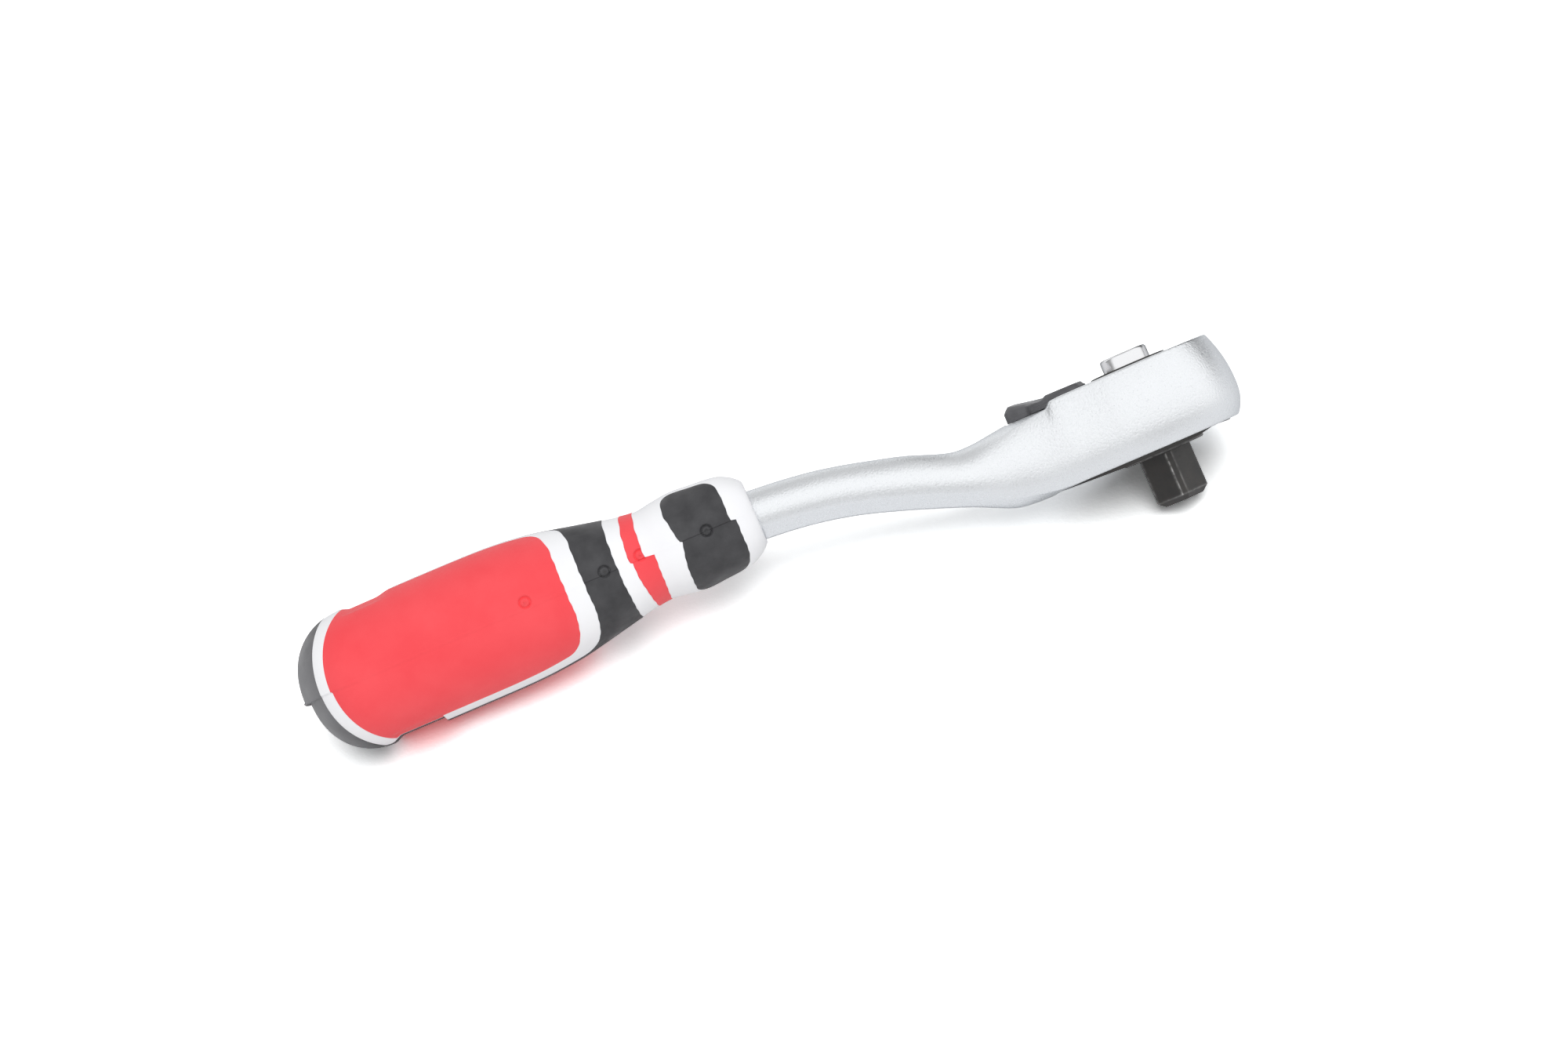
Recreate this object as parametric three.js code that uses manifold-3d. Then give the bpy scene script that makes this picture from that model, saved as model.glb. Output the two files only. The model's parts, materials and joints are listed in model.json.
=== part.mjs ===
// Reversible ratchet with a quarter-inch square drive, a bent neck and a moulded handle.
// Millimetres. The tool is modelled about its drive axis: +x to the front of the head, handle towards -x,
// +z on the side of the release button. It is then laid on a bench as it rests, with +Z up from the bench,
// +X from the butt to the head, and the origin below the middle of its box.

import * as THREE from 'three';
import { mergeVertices } from 'three/addons/utils/BufferGeometryUtils.js';
import Module from 'manifold-3d';

const wasm = await Module();
wasm.setup();

// Fits
const FIT_GAP = 0.3;
const MESH_GAP = 0.32;
const OVERCUT = 1.0;

// Square drive
const SQUARE_ACROSS_FLATS = 6.35;
const SQUARE_LENGTH = 7.7;
const SQUARE_CORNER_CUT = 0.66;
const SQUARE_END_BEVEL = 0.85;
const SQUARE_BEVEL_SPREAD = 0.7;
const SQUARE_REST_TURN = 45;
const DRIVE_COLLAR_RADIUS = 6.36;
const DRIVE_COLLAR_DROP = 0.85;

// Ratchet head
const HEAD_THICKNESS = 13.0;
const HEAD_LAND_RADIUS = 12.4;
const HEAD_BULGE = 1.6;
const HEAD_FULLEST_LEVEL = -0.2;
const HEAD_LOWER_CORNER = 4;
const HEAD_TAPER_ANGLE = 26;
const HEAD_TAPER_LENGTH = 15;
const HEAD_TAPER_EASE = 0.25;
const HEAD_TOP_WALL = 2.45;
const HEEL_DROP = 0.4;
const SHOULDER_START = 1.75;
const SHOULDER_STEP = 0.85;
const SHOULDER_STEP_LENGTH = 1.2;

// Cover plate and its screws
const PLATE_RIM = 1.4;
const PLATE_THICKNESS = 1.5;
const PLATE_PROUD = 0.4;
const PLATE_SMALL_RADIUS = 6.0;
const SCREW_THREAD_RADIUS = 0.7;
const SCREW_THREAD_LENGTH = 4.2;
const SCREW_HEAD_RADIUS = 1.15;
const SCREW_HEAD_HEIGHT = 0.7;
const SCREW_WALL = 0.45;
const SCREW_ANGLE = 50;
const SCREW_RECESS_WIDTH = 0.35;
const SCREW_RECESS_DEPTH = 0.35;

// Gear
const GEAR_TEETH = 36;
const GEAR_TOOTH_DEPTH = 0.85;
const GEAR_TIP_SHARE = 0.2;
const GEAR_RUNNING_GAP = 0.4;
const HUB_RADIUS = 5.93;
const HUB_PROUD = 0.35;
const WASHER_THICKNESS = 0.4;
const WASHER_WIDTH = 0.94;

// Release button, its pin, spring, ring and ball
const BUTTON_RADIUS = 3.7;
const BUTTON_HEIGHT = 2.35;
const BUTTON_EDGE = 0.55;
const BUTTON_TRAVEL = 1.6;
const BUTTON_FLANGE_RADIUS = 4.4;
const BUTTON_FLANGE_HEIGHT = 0.8;
const RING_DEPTH = 0.9;
const RING_THICKNESS = 0.6;
const RING_GROOVE = 0.5;
const RING_MOUTH_ANGLE = 50;
const PIN_RADIUS = 1.5;
const PIN_NECK_RADIUS = 0.85;
const PIN_NECK_LENGTH = 1.0;
const PIN_END_COVER = 1.3;
const SPRING_ROOM = 4.4;
const SPRING_WIRE_RADIUS = 0.3;
const SPRING_TURNS = 3;
const BALL_RADIUS = 0.9;
const BALL_PROUD = 0.5;
const BALL_FROM_END = 3.3;

// Reversing lever
const LEVER_SWING = 50;
const LEVER_ROOM = 4.0;
const LEVER_HUB_RADIUS = 4.8;
const LEVER_REACH = 8.2;
const LEVER_ROOT_HALF_WIDTH = 2.9;
const LEVER_TIP_HALF_WIDTH = 2.6;
const LEVER_BEVEL = 0.85;
const LEVER_SWEEP_STEPS = 6;
// Lever: distance from the pivot towards the tip, height of its side and of its crest above the underside
const LEVER_PROFILE = [
  { along: -LEVER_HUB_RADIUS, side: 0.88, crest: 0.9 },
  { along: -3.95, side: 0.9, crest: 1.5 },
  { along: 0.3, side: 0.95, crest: 1.55 },
  { along: 1.3, side: 1.0, crest: 1.15 },
  { along: 7.2, side: 1.4, crest: 2.25 },
  { along: LEVER_REACH, side: 1.3, crest: 1.6 },
];
const SPINDLE_TOP_RADIUS = 3.0;
const SPINDLE_RADIUS = 2.2;
const SPINDLE_GROOVE = 0.55;
const SPINDLE_END_FLANGE = 0.5;
const CLIP_THICKNESS = 0.5;
const CLIP_WIDTH = 1.35;
const CLIP_MOUTH_ANGLE = 80;

// Pawl, its plunger and spring
const PAWL_SWING = 10;
const PAWL_RING = 1.1;
const PAWL_DEPTH = 1.7;
const PAWL_HALF_ANGLE = 33;
const PAWL_GAP_ANGLE = 13;
const PAWL_WEB_RELIEF = 0.75;
const PAWL_POCKET_BACK = 1.7;
const PLUNGER_RADIUS = 0.7;
const PLUNGER_LENGTH = 1.2;
const PAWL_SPRING_WIRE_RADIUS = 0.14;
const PAWL_SPRING_TURNS = 3;
const PAWL_SPRING_LENGTH = 1.7;

// Neck: distance from the drive axis, height of its middle, half height and half width
const NECK_PATH = [
  { reach: 20, middle: -0.4, halfHeight: 6.35, halfWidth: 6.0 },
  { reach: 23.3, middle: -0.45, halfHeight: 5.85, halfWidth: 5.3 },
  { reach: 26.6, middle: 0.05, halfHeight: 5.05, halfWidth: 4.75 },
  { reach: 29.8, middle: 0.9, halfHeight: 4.45, halfWidth: 4.4 },
  { reach: 36.2, middle: 3.24, halfHeight: 4.36, halfWidth: 4.2 },
  { reach: 40.5, middle: 4.58, halfHeight: 4.21, halfWidth: 4.15 },
  { reach: 45, middle: 5.87, halfHeight: 4.07, halfWidth: 4.05 },
  { reach: 49.5, middle: 6.88, halfHeight: 3.99, halfWidth: 4.0 },
  { reach: 54.5, middle: 7.64, halfHeight: 3.92, halfWidth: 3.95 },
  { reach: 60, middle: 8.15, halfHeight: 3.9, halfWidth: 3.9 },
  { reach: 68, middle: 8.75, halfHeight: 3.9, halfWidth: 3.9 },
];
const NECK_BLEND_START = 11.5;
const NECK_BLEND_END = 28;
const TANG_LENGTH = 46;
const TANG_END_TAPER = 1.0;
const TANG_GAP = 0.3;

// Handle: distance from its nose, half height and half width
const HANDLE_START = 60;
const HANDLE_LENGTH = 72.8;
const HANDLE_SECTIONS = [
  { along: 0, halfHeight: 5.0, halfWidth: 5.2 },
  { along: 1.2, halfHeight: 6.1, halfWidth: 6.3 },
  { along: 3.4, halfHeight: 7.15, halfWidth: 7.3 },
  { along: 7.7, halfHeight: 7.6, halfWidth: 7.8 },
  { along: 10.8, halfHeight: 7.8, halfWidth: 8.1 },
  { along: 14, halfHeight: 7.45, halfWidth: 7.8 },
  { along: 16.5, halfHeight: 7.1, halfWidth: 7.5 },
  { along: 19.2, halfHeight: 7.4, halfWidth: 7.8 },
  { along: 22, halfHeight: 7.95, halfWidth: 8.3 },
  { along: 29, halfHeight: 9.45, halfWidth: 9.8 },
  { along: 32.5, halfHeight: 10.15, halfWidth: 10.5 },
  { along: 39, halfHeight: 10.75, halfWidth: 11.3 },
  { along: 50, halfHeight: 10.9, halfWidth: 11.5 },
  { along: 62.6, halfHeight: 10.9, halfWidth: 11.4 },
];
const HANDLE_SQUARENESS = 2.3;
const BUTT_ROUNDING = 10.2;
const BUTT_SQUARENESS = 2.2;
const GRIP_DEPTH = 1.3;

// Grip patches: distances from the nose, and half widths across the handle
const PAD_START = 3.35;
const PAD_END = 12;
const PAD_SPINE_GAP = 2.2;
const PAD_CORNER = 3.2;
const BAND_START = 16.4;
const BAND_END = 19.4;
const BLACK_RING_START = 21;
const BLACK_RING_END = 27.3;
const SPINE_HALF_WIDTH = 1.2;
const FRAME_CORNER = 6.0;
const PANEL_START = 30.1;
const PANEL_OUTLINE = 3.2;
const PANEL_CORNER = 5.0;
const END_CURVE_START = 59;
const PANEL_END_LENGTH = 8.9;
const PANEL_END_HALF_HEIGHT = 10.9;
const CAP_EDGE_LENGTH = 10.5;
const CAP_EDGE_HALF_HEIGHT = 11.6;
const LABEL_START = 55;
const LABEL_END = 62.8;
const LABEL_DEPTH = 0.65;

// Facets
const FACET_TOLERANCE = 0.02;
const WELD_DISTANCE = 1e-4;
const ROUND_SEGMENTS = 32;
const SMALL_SEGMENTS = 16;
const REGION_CORNER_SEGMENTS = 5;
const COIL_SIDES = 4;
const COIL_STEPS = 10;
const HANDLE_SEGMENTS = 20;
const HANDLE_RINGS = 14;
const BUTT_RINGS = 4;
const BUTT_END_ANGLE = 80;
const TANG_BORE_RINGS = 5;
const HEAD_ARC_RINGS = 12;
const HEAD_TAPER_RINGS = 6;
const NECK_RINGS = 13;
const HEAD_FLAT_STEPS = 4;
const HEAD_SIDE_STEPS = 8;
const LEVER_HUB_RINGS = 7;
const LEVER_TAB_RINGS = 4;
const LEVER_FRONT_ANGLE = 12;

// Heights and radii that follow from these sizes
const landTop = HEAD_THICKNESS / 2;
const landBottom = -HEAD_THICKNESS / 2;
const plateBottom = landBottom - PLATE_PROUD;
const plateTop = plateBottom + PLATE_THICKNESS;
const plateSeat = plateTop + FIT_GAP;
const plateRadius = HEAD_LAND_RADIUS - PLATE_RIM;
const pocketRadius = DRIVE_COLLAR_RADIUS + FIT_GAP + WASHER_WIDTH + GEAR_RUNNING_GAP;
const gearRadius = pocketRadius - GEAR_RUNNING_GAP;
const gearRootRadius = gearRadius - GEAR_TOOTH_DEPTH;
const pocketTop = landTop - HEAD_TOP_WALL;
const gearTop = pocketTop - FIT_GAP;
const washerBottom = plateTop + FIT_GAP;
const gearBottom = washerBottom + WASHER_THICKNESS + FIT_GAP;
const hubTop = landTop + HUB_PROUD;
const collarBottom = landBottom - DRIVE_COLLAR_DROP;
const squareEnd = collarBottom - SQUARE_LENGTH;
const squareHalf = SQUARE_ACROSS_FLATS / 2;
const leverPivot = gearRadius + LEVER_ROOM;
const plateEnd = leverPivot + PLATE_SMALL_RADIUS;
const shoulderStart = leverPivot + SHOULDER_START;
const shoulderEnd = shoulderStart + SHOULDER_STEP_LENGTH;
const leverBottom = landTop - SHOULDER_STEP + FIT_GAP;
const NECK_END = NECK_PATH[NECK_PATH.length - 1];
const handleAxis = NECK_END.middle;
const tangEnd = HANDLE_START + TANG_LENGTH;
const radians = THREE.MathUtils.degToRad;

const screwHoleRadius = SCREW_THREAD_RADIUS + FIT_GAP;
const screwCircle = pocketRadius + SCREW_WALL + screwHoleRadius;
const screwEnd = plateBottom + SCREW_HEAD_HEIGHT + SCREW_THREAD_LENGTH;
const screwPlaces = [-1, 1].map((side) => {
  const angle = Math.PI + side * radians(SCREW_ANGLE);
  return [screwCircle * Math.cos(angle), screwCircle * Math.sin(angle)];
});

const ringTop = hubTop - RING_DEPTH;
const ringBottom = ringTop - RING_THICKNESS;
const buttonBore = BUTTON_FLANGE_RADIUS + FIT_GAP;
const ringGroove = buttonBore + RING_GROOVE;
const flangeTop = ringBottom - FIT_GAP;
const flangeBottom = flangeTop - BUTTON_FLANGE_HEIGHT;
const springSeat = flangeBottom - SPRING_ROOM;
const pinBoreFloor = squareEnd + PIN_END_COVER - FIT_GAP;
const pinEnd = pinBoreFloor + FIT_GAP + BUTTON_TRAVEL;
const ballHeight = squareEnd + BALL_FROM_END;
const ballReach = squareHalf + BALL_PROUD - BALL_RADIUS;

const spindleEnd = plateTop + FIT_GAP;
const grooveBottom = spindleEnd + SPINDLE_END_FLANGE;
const pawlBottom = grooveBottom + CLIP_THICKNESS + 2 * FIT_GAP;
const pawlRingRadius = SPINDLE_RADIUS + FIT_GAP + PAWL_RING;
const pawlOuterRadius = gearRadius + PAWL_DEPTH;
const plungerHoleFloor = PLUNGER_LENGTH - SPINDLE_RADIUS + PAWL_SPRING_LENGTH + 2 * FIT_GAP;

// How the tool leans on the bench, before its three supports settle it
const LEAN_GUESS = new THREE.Vector3(0.08, -0.6, 0.79);
const LEAN_ROUNDS = 24;

// Solids

function toSolid(geometry) {
  const bare = geometry.clone();
  bare.deleteAttribute('normal');
  bare.deleteAttribute('uv');
  const merged = mergeVertices(bare, WELD_DISTANCE);
  const corners = [];
  for (let i = 0; i < merged.index.count; i += 3) {
    const [a, b, c] = [0, 1, 2].map((k) => merged.index.getX(i + k));
    if (a !== b && b !== c && c !== a) {
      corners.push(a, b, c);
    }
  }
  const vertProperties = Float32Array.from(merged.attributes.position.array);
  if (signedVolume(vertProperties, corners) < 0) {
    corners.reverse();
  }
  const triVerts = Uint32Array.from(corners);
  return new wasm.Manifold(new wasm.Mesh({ numProp: 3, vertProperties, triVerts }));
}

function signedVolume(positions, corners) {
  const point = (k) => new THREE.Vector3().fromArray(positions, 3 * k);
  let volume = 0;
  for (let i = 0; i < corners.length; i += 3) {
    const [a, b, c] = corners.slice(i, i + 3).map(point);
    volume += a.dot(b.cross(c)) / 6;
  }
  return volume;
}

function toGeometry(solid) {
  const mesh = solid.simplify(FACET_TOLERANCE).getMesh();
  const geometry = new THREE.BufferGeometry();
  geometry.setAttribute('position', new THREE.BufferAttribute(Float32Array.from(mesh.vertProperties), 3));
  geometry.setIndex(new THREE.BufferAttribute(Uint32Array.from(mesh.triVerts), 1));
  geometry.computeVertexNormals();
  return geometry;
}

// A turned solid about the z axis, from points of radius and height that start and end on the axis.
function turned(profile, segments = ROUND_SEGMENTS) {
  const points = profile.map(([radius, height]) => new THREE.Vector2(radius, height));
  return toSolid(new THREE.LatheGeometry(points, segments).rotateX(Math.PI / 2));
}

function disc(radius, low, high, segments = ROUND_SEGMENTS) {
  return turned([[0, low], [radius, low], [radius, high], [0, high]], segments);
}

// A flat outline in the xy plane, raised from one height to another.
function raised(shape, low, high, curveSegments = ROUND_SEGMENTS / 2) {
  const options = { depth: high - low, bevelEnabled: false, curveSegments };
  return toSolid(new THREE.ExtrudeGeometry(shape, options).translate(0, 0, low));
}

// A skin over rings of points, with a flat cap on the first and the last ring.
function lofted(rings) {
  const count = rings[0].length;
  const positions = rings.flat().flatMap((p) => [p.x, p.y, p.z]);
  const index = [];
  for (let i = 0; i < rings.length - 1; i += 1) {
    for (let j = 0; j < count; j += 1) {
      const a = i * count + j;
      const b = i * count + ((j + 1) % count);
      index.push(a, b, b + count, a, b + count, a + count);
    }
  }
  for (const ring of [0, rings.length - 1]) {
    const middle = positions.length / 3;
    const centre = rings[ring].reduce((sum, p) => sum.add(p), new THREE.Vector3()).divideScalar(count);
    positions.push(centre.x, centre.y, centre.z);
    for (let j = 0; j < count; j += 1) {
      const edge = [ring * count + j, ring * count + ((j + 1) % count)];
      index.push(middle, ...(ring === 0 ? edge.reverse() : edge));
    }
  }
  const geometry = new THREE.BufferGeometry();
  geometry.setAttribute('position', new THREE.Float32BufferAttribute(positions, 3));
  geometry.setIndex(index);
  return toSolid(geometry);
}

class Helix extends THREE.Curve {
  constructor(radius, turns, low, high) {
    super();
    Object.assign(this, { radius, turns, low, high });
  }

  getPoint(t, target = new THREE.Vector3()) {
    const angle = 2 * Math.PI * this.turns * t;
    const height = THREE.MathUtils.lerp(this.low, this.high, t);
    return target.set(this.radius * Math.cos(angle), this.radius * Math.sin(angle), height);
  }
}

function coiled(radius, wireRadius, turns, low, high) {
  const section = new THREE.Shape(ringPoints(wireRadius, COIL_SIDES));
  const extrudePath = new Helix(radius, turns, low + wireRadius, high - wireRadius);
  const options = { steps: turns * COIL_STEPS, extrudePath, bevelEnabled: false };
  return toSolid(new THREE.ExtrudeGeometry(section, options));
}

function ringPoints(radius, count) {
  const angles = Array.from({ length: count }, (_, i) => (2 * Math.PI * i) / count);
  return angles.map((a) => new THREE.Vector2(radius * Math.cos(a), radius * Math.sin(a)));
}

function polygon(points) {
  return new THREE.Shape(points.map(([x, y]) => new THREE.Vector2(x, y)));
}

// An open ring with a mouth centred on the direction of -x.
function openRing(inner, outer, low, high, mouthAngle) {
  const half = radians(mouthAngle) / 2;
  const shape = new THREE.Shape();
  shape.absarc(0, 0, outer, -Math.PI + half, Math.PI - half, false);
  shape.absarc(0, 0, inner, Math.PI - half, -Math.PI + half, true);
  shape.closePath();
  return raised(shape, low, high, SMALL_SEGMENTS);
}

// A pear outline about the drive axis and the lever pivot.
function pear(largeRadius, smallRadius) {
  const slope = Math.asin((largeRadius - smallRadius) / leverPivot);
  const shape = new THREE.Shape();
  shape.absarc(0, 0, largeRadius, -Math.PI / 2 - slope, Math.PI / 2 + slope, false);
  shape.absarc(-leverPivot, 0, smallRadius, Math.PI / 2 + slope, 1.5 * Math.PI - slope, false);
  shape.closePath();
  return shape;
}

// A smooth curve through the named values of a list of stations.
function through(stations, along, key) {
  const points = stations.map((s) => new THREE.Vector2(s[along], s[key]));
  const last = points.length - 1;
  return (x) => {
    const clamped = THREE.MathUtils.clamp(x, points[0].x, points[last].x);
    let i = points.findIndex((p, k) => k < last && clamped <= points[k + 1].x);
    i = Math.max(i, 0);
    const span = points[i + 1].x - points[i].x;
    const t = (clamped - points[i].x) / span;
    const slope = (k) => {
      const [before, after] = [points[Math.max(k - 1, 0)], points[Math.min(k + 1, last)]];
      return ((after.y - before.y) / (after.x - before.x)) * span;
    };
    const bend = 2 * t ** 3 - 3 * t ** 2;
    const lift = slope(i) * (t ** 3 - 2 * t ** 2 + t) + slope(i + 1) * (t ** 3 - t ** 2);
    return points[i].y * (1 + bend) - points[i + 1].y * bend + lift;
  };
}

const neckMiddle = through(NECK_PATH, 'reach', 'middle');
const neckHalfHeight = through(NECK_PATH, 'reach', 'halfHeight');
const neckHalfWidth = through(NECK_PATH, 'reach', 'halfWidth');
const leverSide = through(LEVER_PROFILE, 'along', 'side');
const leverCrest = through(LEVER_PROFILE, 'along', 'crest');
const handleHalfHeight = through(HANDLE_SECTIONS, 'along', 'halfHeight');
const handleHalfWidth = through(HANDLE_SECTIONS, 'along', 'halfWidth');

// Head, neck and tang

function neckOval(reach, angle, grow = 0) {
  const y = (neckHalfWidth(reach) + grow) * Math.cos(angle);
  const z = neckMiddle(reach) + (neckHalfHeight(reach) + grow) * Math.sin(angle);
  return new THREE.Vector3(-reach, y, z);
}

// The side bulges most a little below the middle of the head and turns in sharply at its lower edge.
function bulgeAt(level) {
  const above = level - HEAD_FULLEST_LEVEL;
  if (above > 0) {
    return HEAD_BULGE * (1 - (above / (1 - HEAD_FULLEST_LEVEL)) ** 2);
  }
  return HEAD_BULGE * (1 - (above / (1 + HEAD_FULLEST_LEVEL)) ** HEAD_LOWER_CORNER);
}

// One ring of the forging: a flat-topped, bulging section at the head that turns into an oval at the neck.
function forgingRing(reach, landHalfWidth, outward) {
  const toNeck = THREE.MathUtils.smoothstep(reach, NECK_BLEND_START, NECK_BLEND_END);
  const stepped = THREE.MathUtils.smoothstep(reach, shoulderStart, shoulderEnd);
  const top = landTop - SHOULDER_STEP * stepped;
  const bottom = landBottom - HEEL_DROP * THREE.MathUtils.smoothstep(reach, leverPivot, plateEnd);
  const corner = Math.PI / 4;
  const points = [];
  const add = (side, level, angle) => {
    const bulge = bulgeAt(level);
    const z = THREE.MathUtils.mapLinear(level, -1, 1, bottom, top);
    const y = side * (landHalfWidth + outward.y * bulge);
    points.push(new THREE.Vector3(-reach + outward.x * bulge, y, z).lerp(neckOval(reach, angle), toNeck));
  };
  const steps = (count) => Array.from({ length: count }, (_, i) => 1 - (2 * i) / count);
  steps(HEAD_SIDE_STEPS).forEach((s) => add(1, -s, -corner * s));
  steps(HEAD_FLAT_STEPS).forEach((s) => add(s, 1, 2 * corner - corner * s));
  steps(HEAD_SIDE_STEPS).forEach((s) => add(-1, s, 4 * corner - corner * s));
  steps(HEAD_FLAT_STEPS).forEach((s) => add(-s, -1, -2 * corner - corner * s));
  return points;
}

function forging() {
  const taper = radians(HEAD_TAPER_ANGLE);
  const taperStart = HEAD_LAND_RADIUS * Math.sin(taper);
  const taperHalfWidth = HEAD_LAND_RADIUS * Math.cos(taper);
  const taperOutward = { x: -Math.sin(taper), y: Math.cos(taper) };
  const narrowed = (along) => {
    const eased = 1 - (HEAD_TAPER_EASE * along) / HEAD_TAPER_LENGTH;
    return taperHalfWidth - Math.tan(taper) * along * eased;
  };
  const rings = [];
  for (let i = 0; i <= HEAD_ARC_RINGS; i += 1) {
    const angle = ((Math.PI / 2 + taper) * i) / HEAD_ARC_RINGS;
    const outward = { x: Math.cos(angle), y: Math.sin(angle) };
    rings.push(forgingRing(-HEAD_LAND_RADIUS * outward.x, HEAD_LAND_RADIUS * outward.y, outward));
  }
  const taperSteps = [shoulderStart - taperStart, shoulderEnd - taperStart];
  for (let i = 1; i <= HEAD_TAPER_RINGS; i += 1) {
    taperSteps.push((HEAD_TAPER_LENGTH * i) / HEAD_TAPER_RINGS);
  }
  for (const along of taperSteps.sort((a, b) => a - b)) {
    rings.push(forgingRing(taperStart + along, narrowed(along), taperOutward));
  }
  const neckStart = taperStart + HEAD_TAPER_LENGTH;
  for (let i = 1; i <= NECK_RINGS; i += 1) {
    const reach = THREE.MathUtils.lerp(neckStart, NECK_END.reach, i / NECK_RINGS);
    rings.push(forgingRing(reach, narrowed(HEAD_TAPER_LENGTH), taperOutward));
  }
  rings.push(forgingRing(tangEnd - TANG_END_TAPER, narrowed(HEAD_TAPER_LENGTH), taperOutward));
  const tip = forgingRing(tangEnd, narrowed(HEAD_TAPER_LENGTH), taperOutward);
  const centre = new THREE.Vector3(-tangEnd, 0, NECK_END.middle);
  rings.push(tip.map((p) => p.lerp(centre, TANG_END_TAPER / NECK_END.halfHeight)));
  return lofted(rings);
}

function pawlPocket() {
  const corner = new THREE.Vector2(leverPivot - pawlOuterRadius * Math.cos(radians(PAWL_HALF_ANGLE)), 0);
  corner.y = pawlOuterRadius * Math.sin(radians(PAWL_HALF_ANGLE));
  const swept = corner.length() + FIT_GAP;
  const halfWidth = corner.length() * Math.sin(corner.angle() + radians(PAWL_SWING / 2)) + FIT_GAP;
  const front = [[PAWL_POCKET_BACK, -halfWidth], [swept, -halfWidth], [swept, halfWidth]];
  const sweep = raised(polygon([...front, [PAWL_POCKET_BACK, halfWidth]]), plateSeat, pocketTop);
  return disc(swept, plateSeat, pocketTop)
    .intersect(sweep)
    .add(disc(pawlRingRadius + GEAR_RUNNING_GAP, plateSeat, pocketTop))
    .translate([-leverPivot, 0, 0]);
}

// The room that the lever needs in the top of the head as it swings to both sides.
function leverRoom() {
  const floor = landTop - SHOULDER_STEP;
  const half = LEVER_ROOT_HALF_WIDTH + FIT_GAP;
  const end = -LEVER_REACH - FIT_GAP;
  const tab = raised(polygon([[0, -half], [0, half], [end, half], [end, -half]]), floor, landTop + OVERCUT);
  let room = disc(LEVER_HUB_RADIUS + FIT_GAP, floor, landTop + OVERCUT);
  for (let i = 0; i <= LEVER_SWEEP_STEPS; i += 1) {
    room = room.add(tab.rotate([0, 0, LEVER_SWING * (i / LEVER_SWEEP_STEPS) - LEVER_SWING / 2]));
  }
  return room.translate([-leverPivot, 0, 0]);
}

function ratchetBody() {
  const cutDepth = HEAD_THICKNESS;
  const plateRecess = pear(plateRadius + FIT_GAP, PLATE_SMALL_RADIUS + FIT_GAP);
  let body = forging()
    .subtract(raised(plateRecess, landBottom - cutDepth, plateSeat))
    .subtract(disc(pocketRadius, landBottom, pocketTop))
    .subtract(pawlPocket())
    .subtract(disc(HUB_RADIUS + FIT_GAP, 0, landTop + cutDepth))
    .subtract(disc(SPINDLE_TOP_RADIUS + FIT_GAP, 0, landTop + cutDepth).translate([-leverPivot, 0, 0]))
    .subtract(leverRoom());
  for (const [x, y] of screwPlaces) {
    const hole = disc(screwHoleRadius, landBottom, screwEnd + FIT_GAP, SMALL_SEGMENTS);
    body = body.subtract(hole.translate([x, y, 0]));
  }
  return body;
}

// Cover plate, screws and washer

function coverPlate() {
  let plate = raised(pear(plateRadius, PLATE_SMALL_RADIUS), plateBottom, plateTop)
    .subtract(disc(DRIVE_COLLAR_RADIUS + FIT_GAP, plateBottom - OVERCUT, plateTop + OVERCUT));
  const floor = plateBottom + SCREW_HEAD_HEIGHT + FIT_GAP;
  for (const [x, y] of screwPlaces) {
    const hole = disc(screwHoleRadius, plateBottom - OVERCUT, plateTop + OVERCUT, SMALL_SEGMENTS)
      .add(disc(SCREW_HEAD_RADIUS + FIT_GAP, plateBottom - OVERCUT, floor, SMALL_SEGMENTS));
    plate = plate.subtract(hole.translate([x, y, 0]));
  }
  return plate;
}

function coverScrew() {
  const headTop = plateBottom + SCREW_HEAD_HEIGHT;
  const profile = [[0, plateBottom], [SCREW_HEAD_RADIUS, plateBottom], [SCREW_HEAD_RADIUS, headTop]];
  profile.push([SCREW_THREAD_RADIUS, headTop], [SCREW_THREAD_RADIUS, screwEnd], [0, screwEnd]);
  const long = SCREW_HEAD_RADIUS - SCREW_RECESS_WIDTH;
  const half = SCREW_RECESS_WIDTH / 2;
  const slot = raised(polygon([[-long, -half], [long, -half], [long, half], [-long, half]]),
    plateBottom - OVERCUT, plateBottom + SCREW_RECESS_DEPTH);
  return turned(profile, SMALL_SEGMENTS).subtract(slot.add(slot.rotate([0, 0, 90])));
}

function frictionWasher() {
  const inner = DRIVE_COLLAR_RADIUS + FIT_GAP;
  const outer = inner + WASHER_WIDTH;
  return disc(outer, washerBottom, washerBottom + WASHER_THICKNESS)
    .subtract(disc(inner, washerBottom - OVERCUT, gearBottom));
}

// Gear and drive square

// The toothed outline, with a gap between two teeth on the -x axis.
function gearOutline(tipRadius, rootRadius) {
  const pitch = (2 * Math.PI) / GEAR_TEETH;
  const points = [];
  for (let i = 0; i < GEAR_TEETH; i += 1) {
    const middle = Math.PI + pitch * i;
    const tipStart = middle + (pitch * (1 - GEAR_TIP_SHARE)) / 2;
    const tipEnd = middle + (pitch * (1 + GEAR_TIP_SHARE)) / 2;
    const corners = [[rootRadius, middle], [tipRadius, tipStart], [tipRadius, tipEnd]];
    points.push(...corners.map(([r, a]) => [r * Math.cos(a), r * Math.sin(a)]));
  }
  return polygon(points);
}

// One level of the square drive: its four sides and four cut corners.
function squareRing(height, inset) {
  const side = squareHalf - inset;
  const flat = squareHalf - SQUARE_CORNER_CUT - inset * SQUARE_BEVEL_SPREAD;
  const corners = [[side, -flat], [side, flat], [flat, side], [-flat, side]];
  corners.push(...corners.map(([x, y]) => [-x, -y]));
  return corners.map(([x, y]) => new THREE.Vector3(x, y, height));
}

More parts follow.
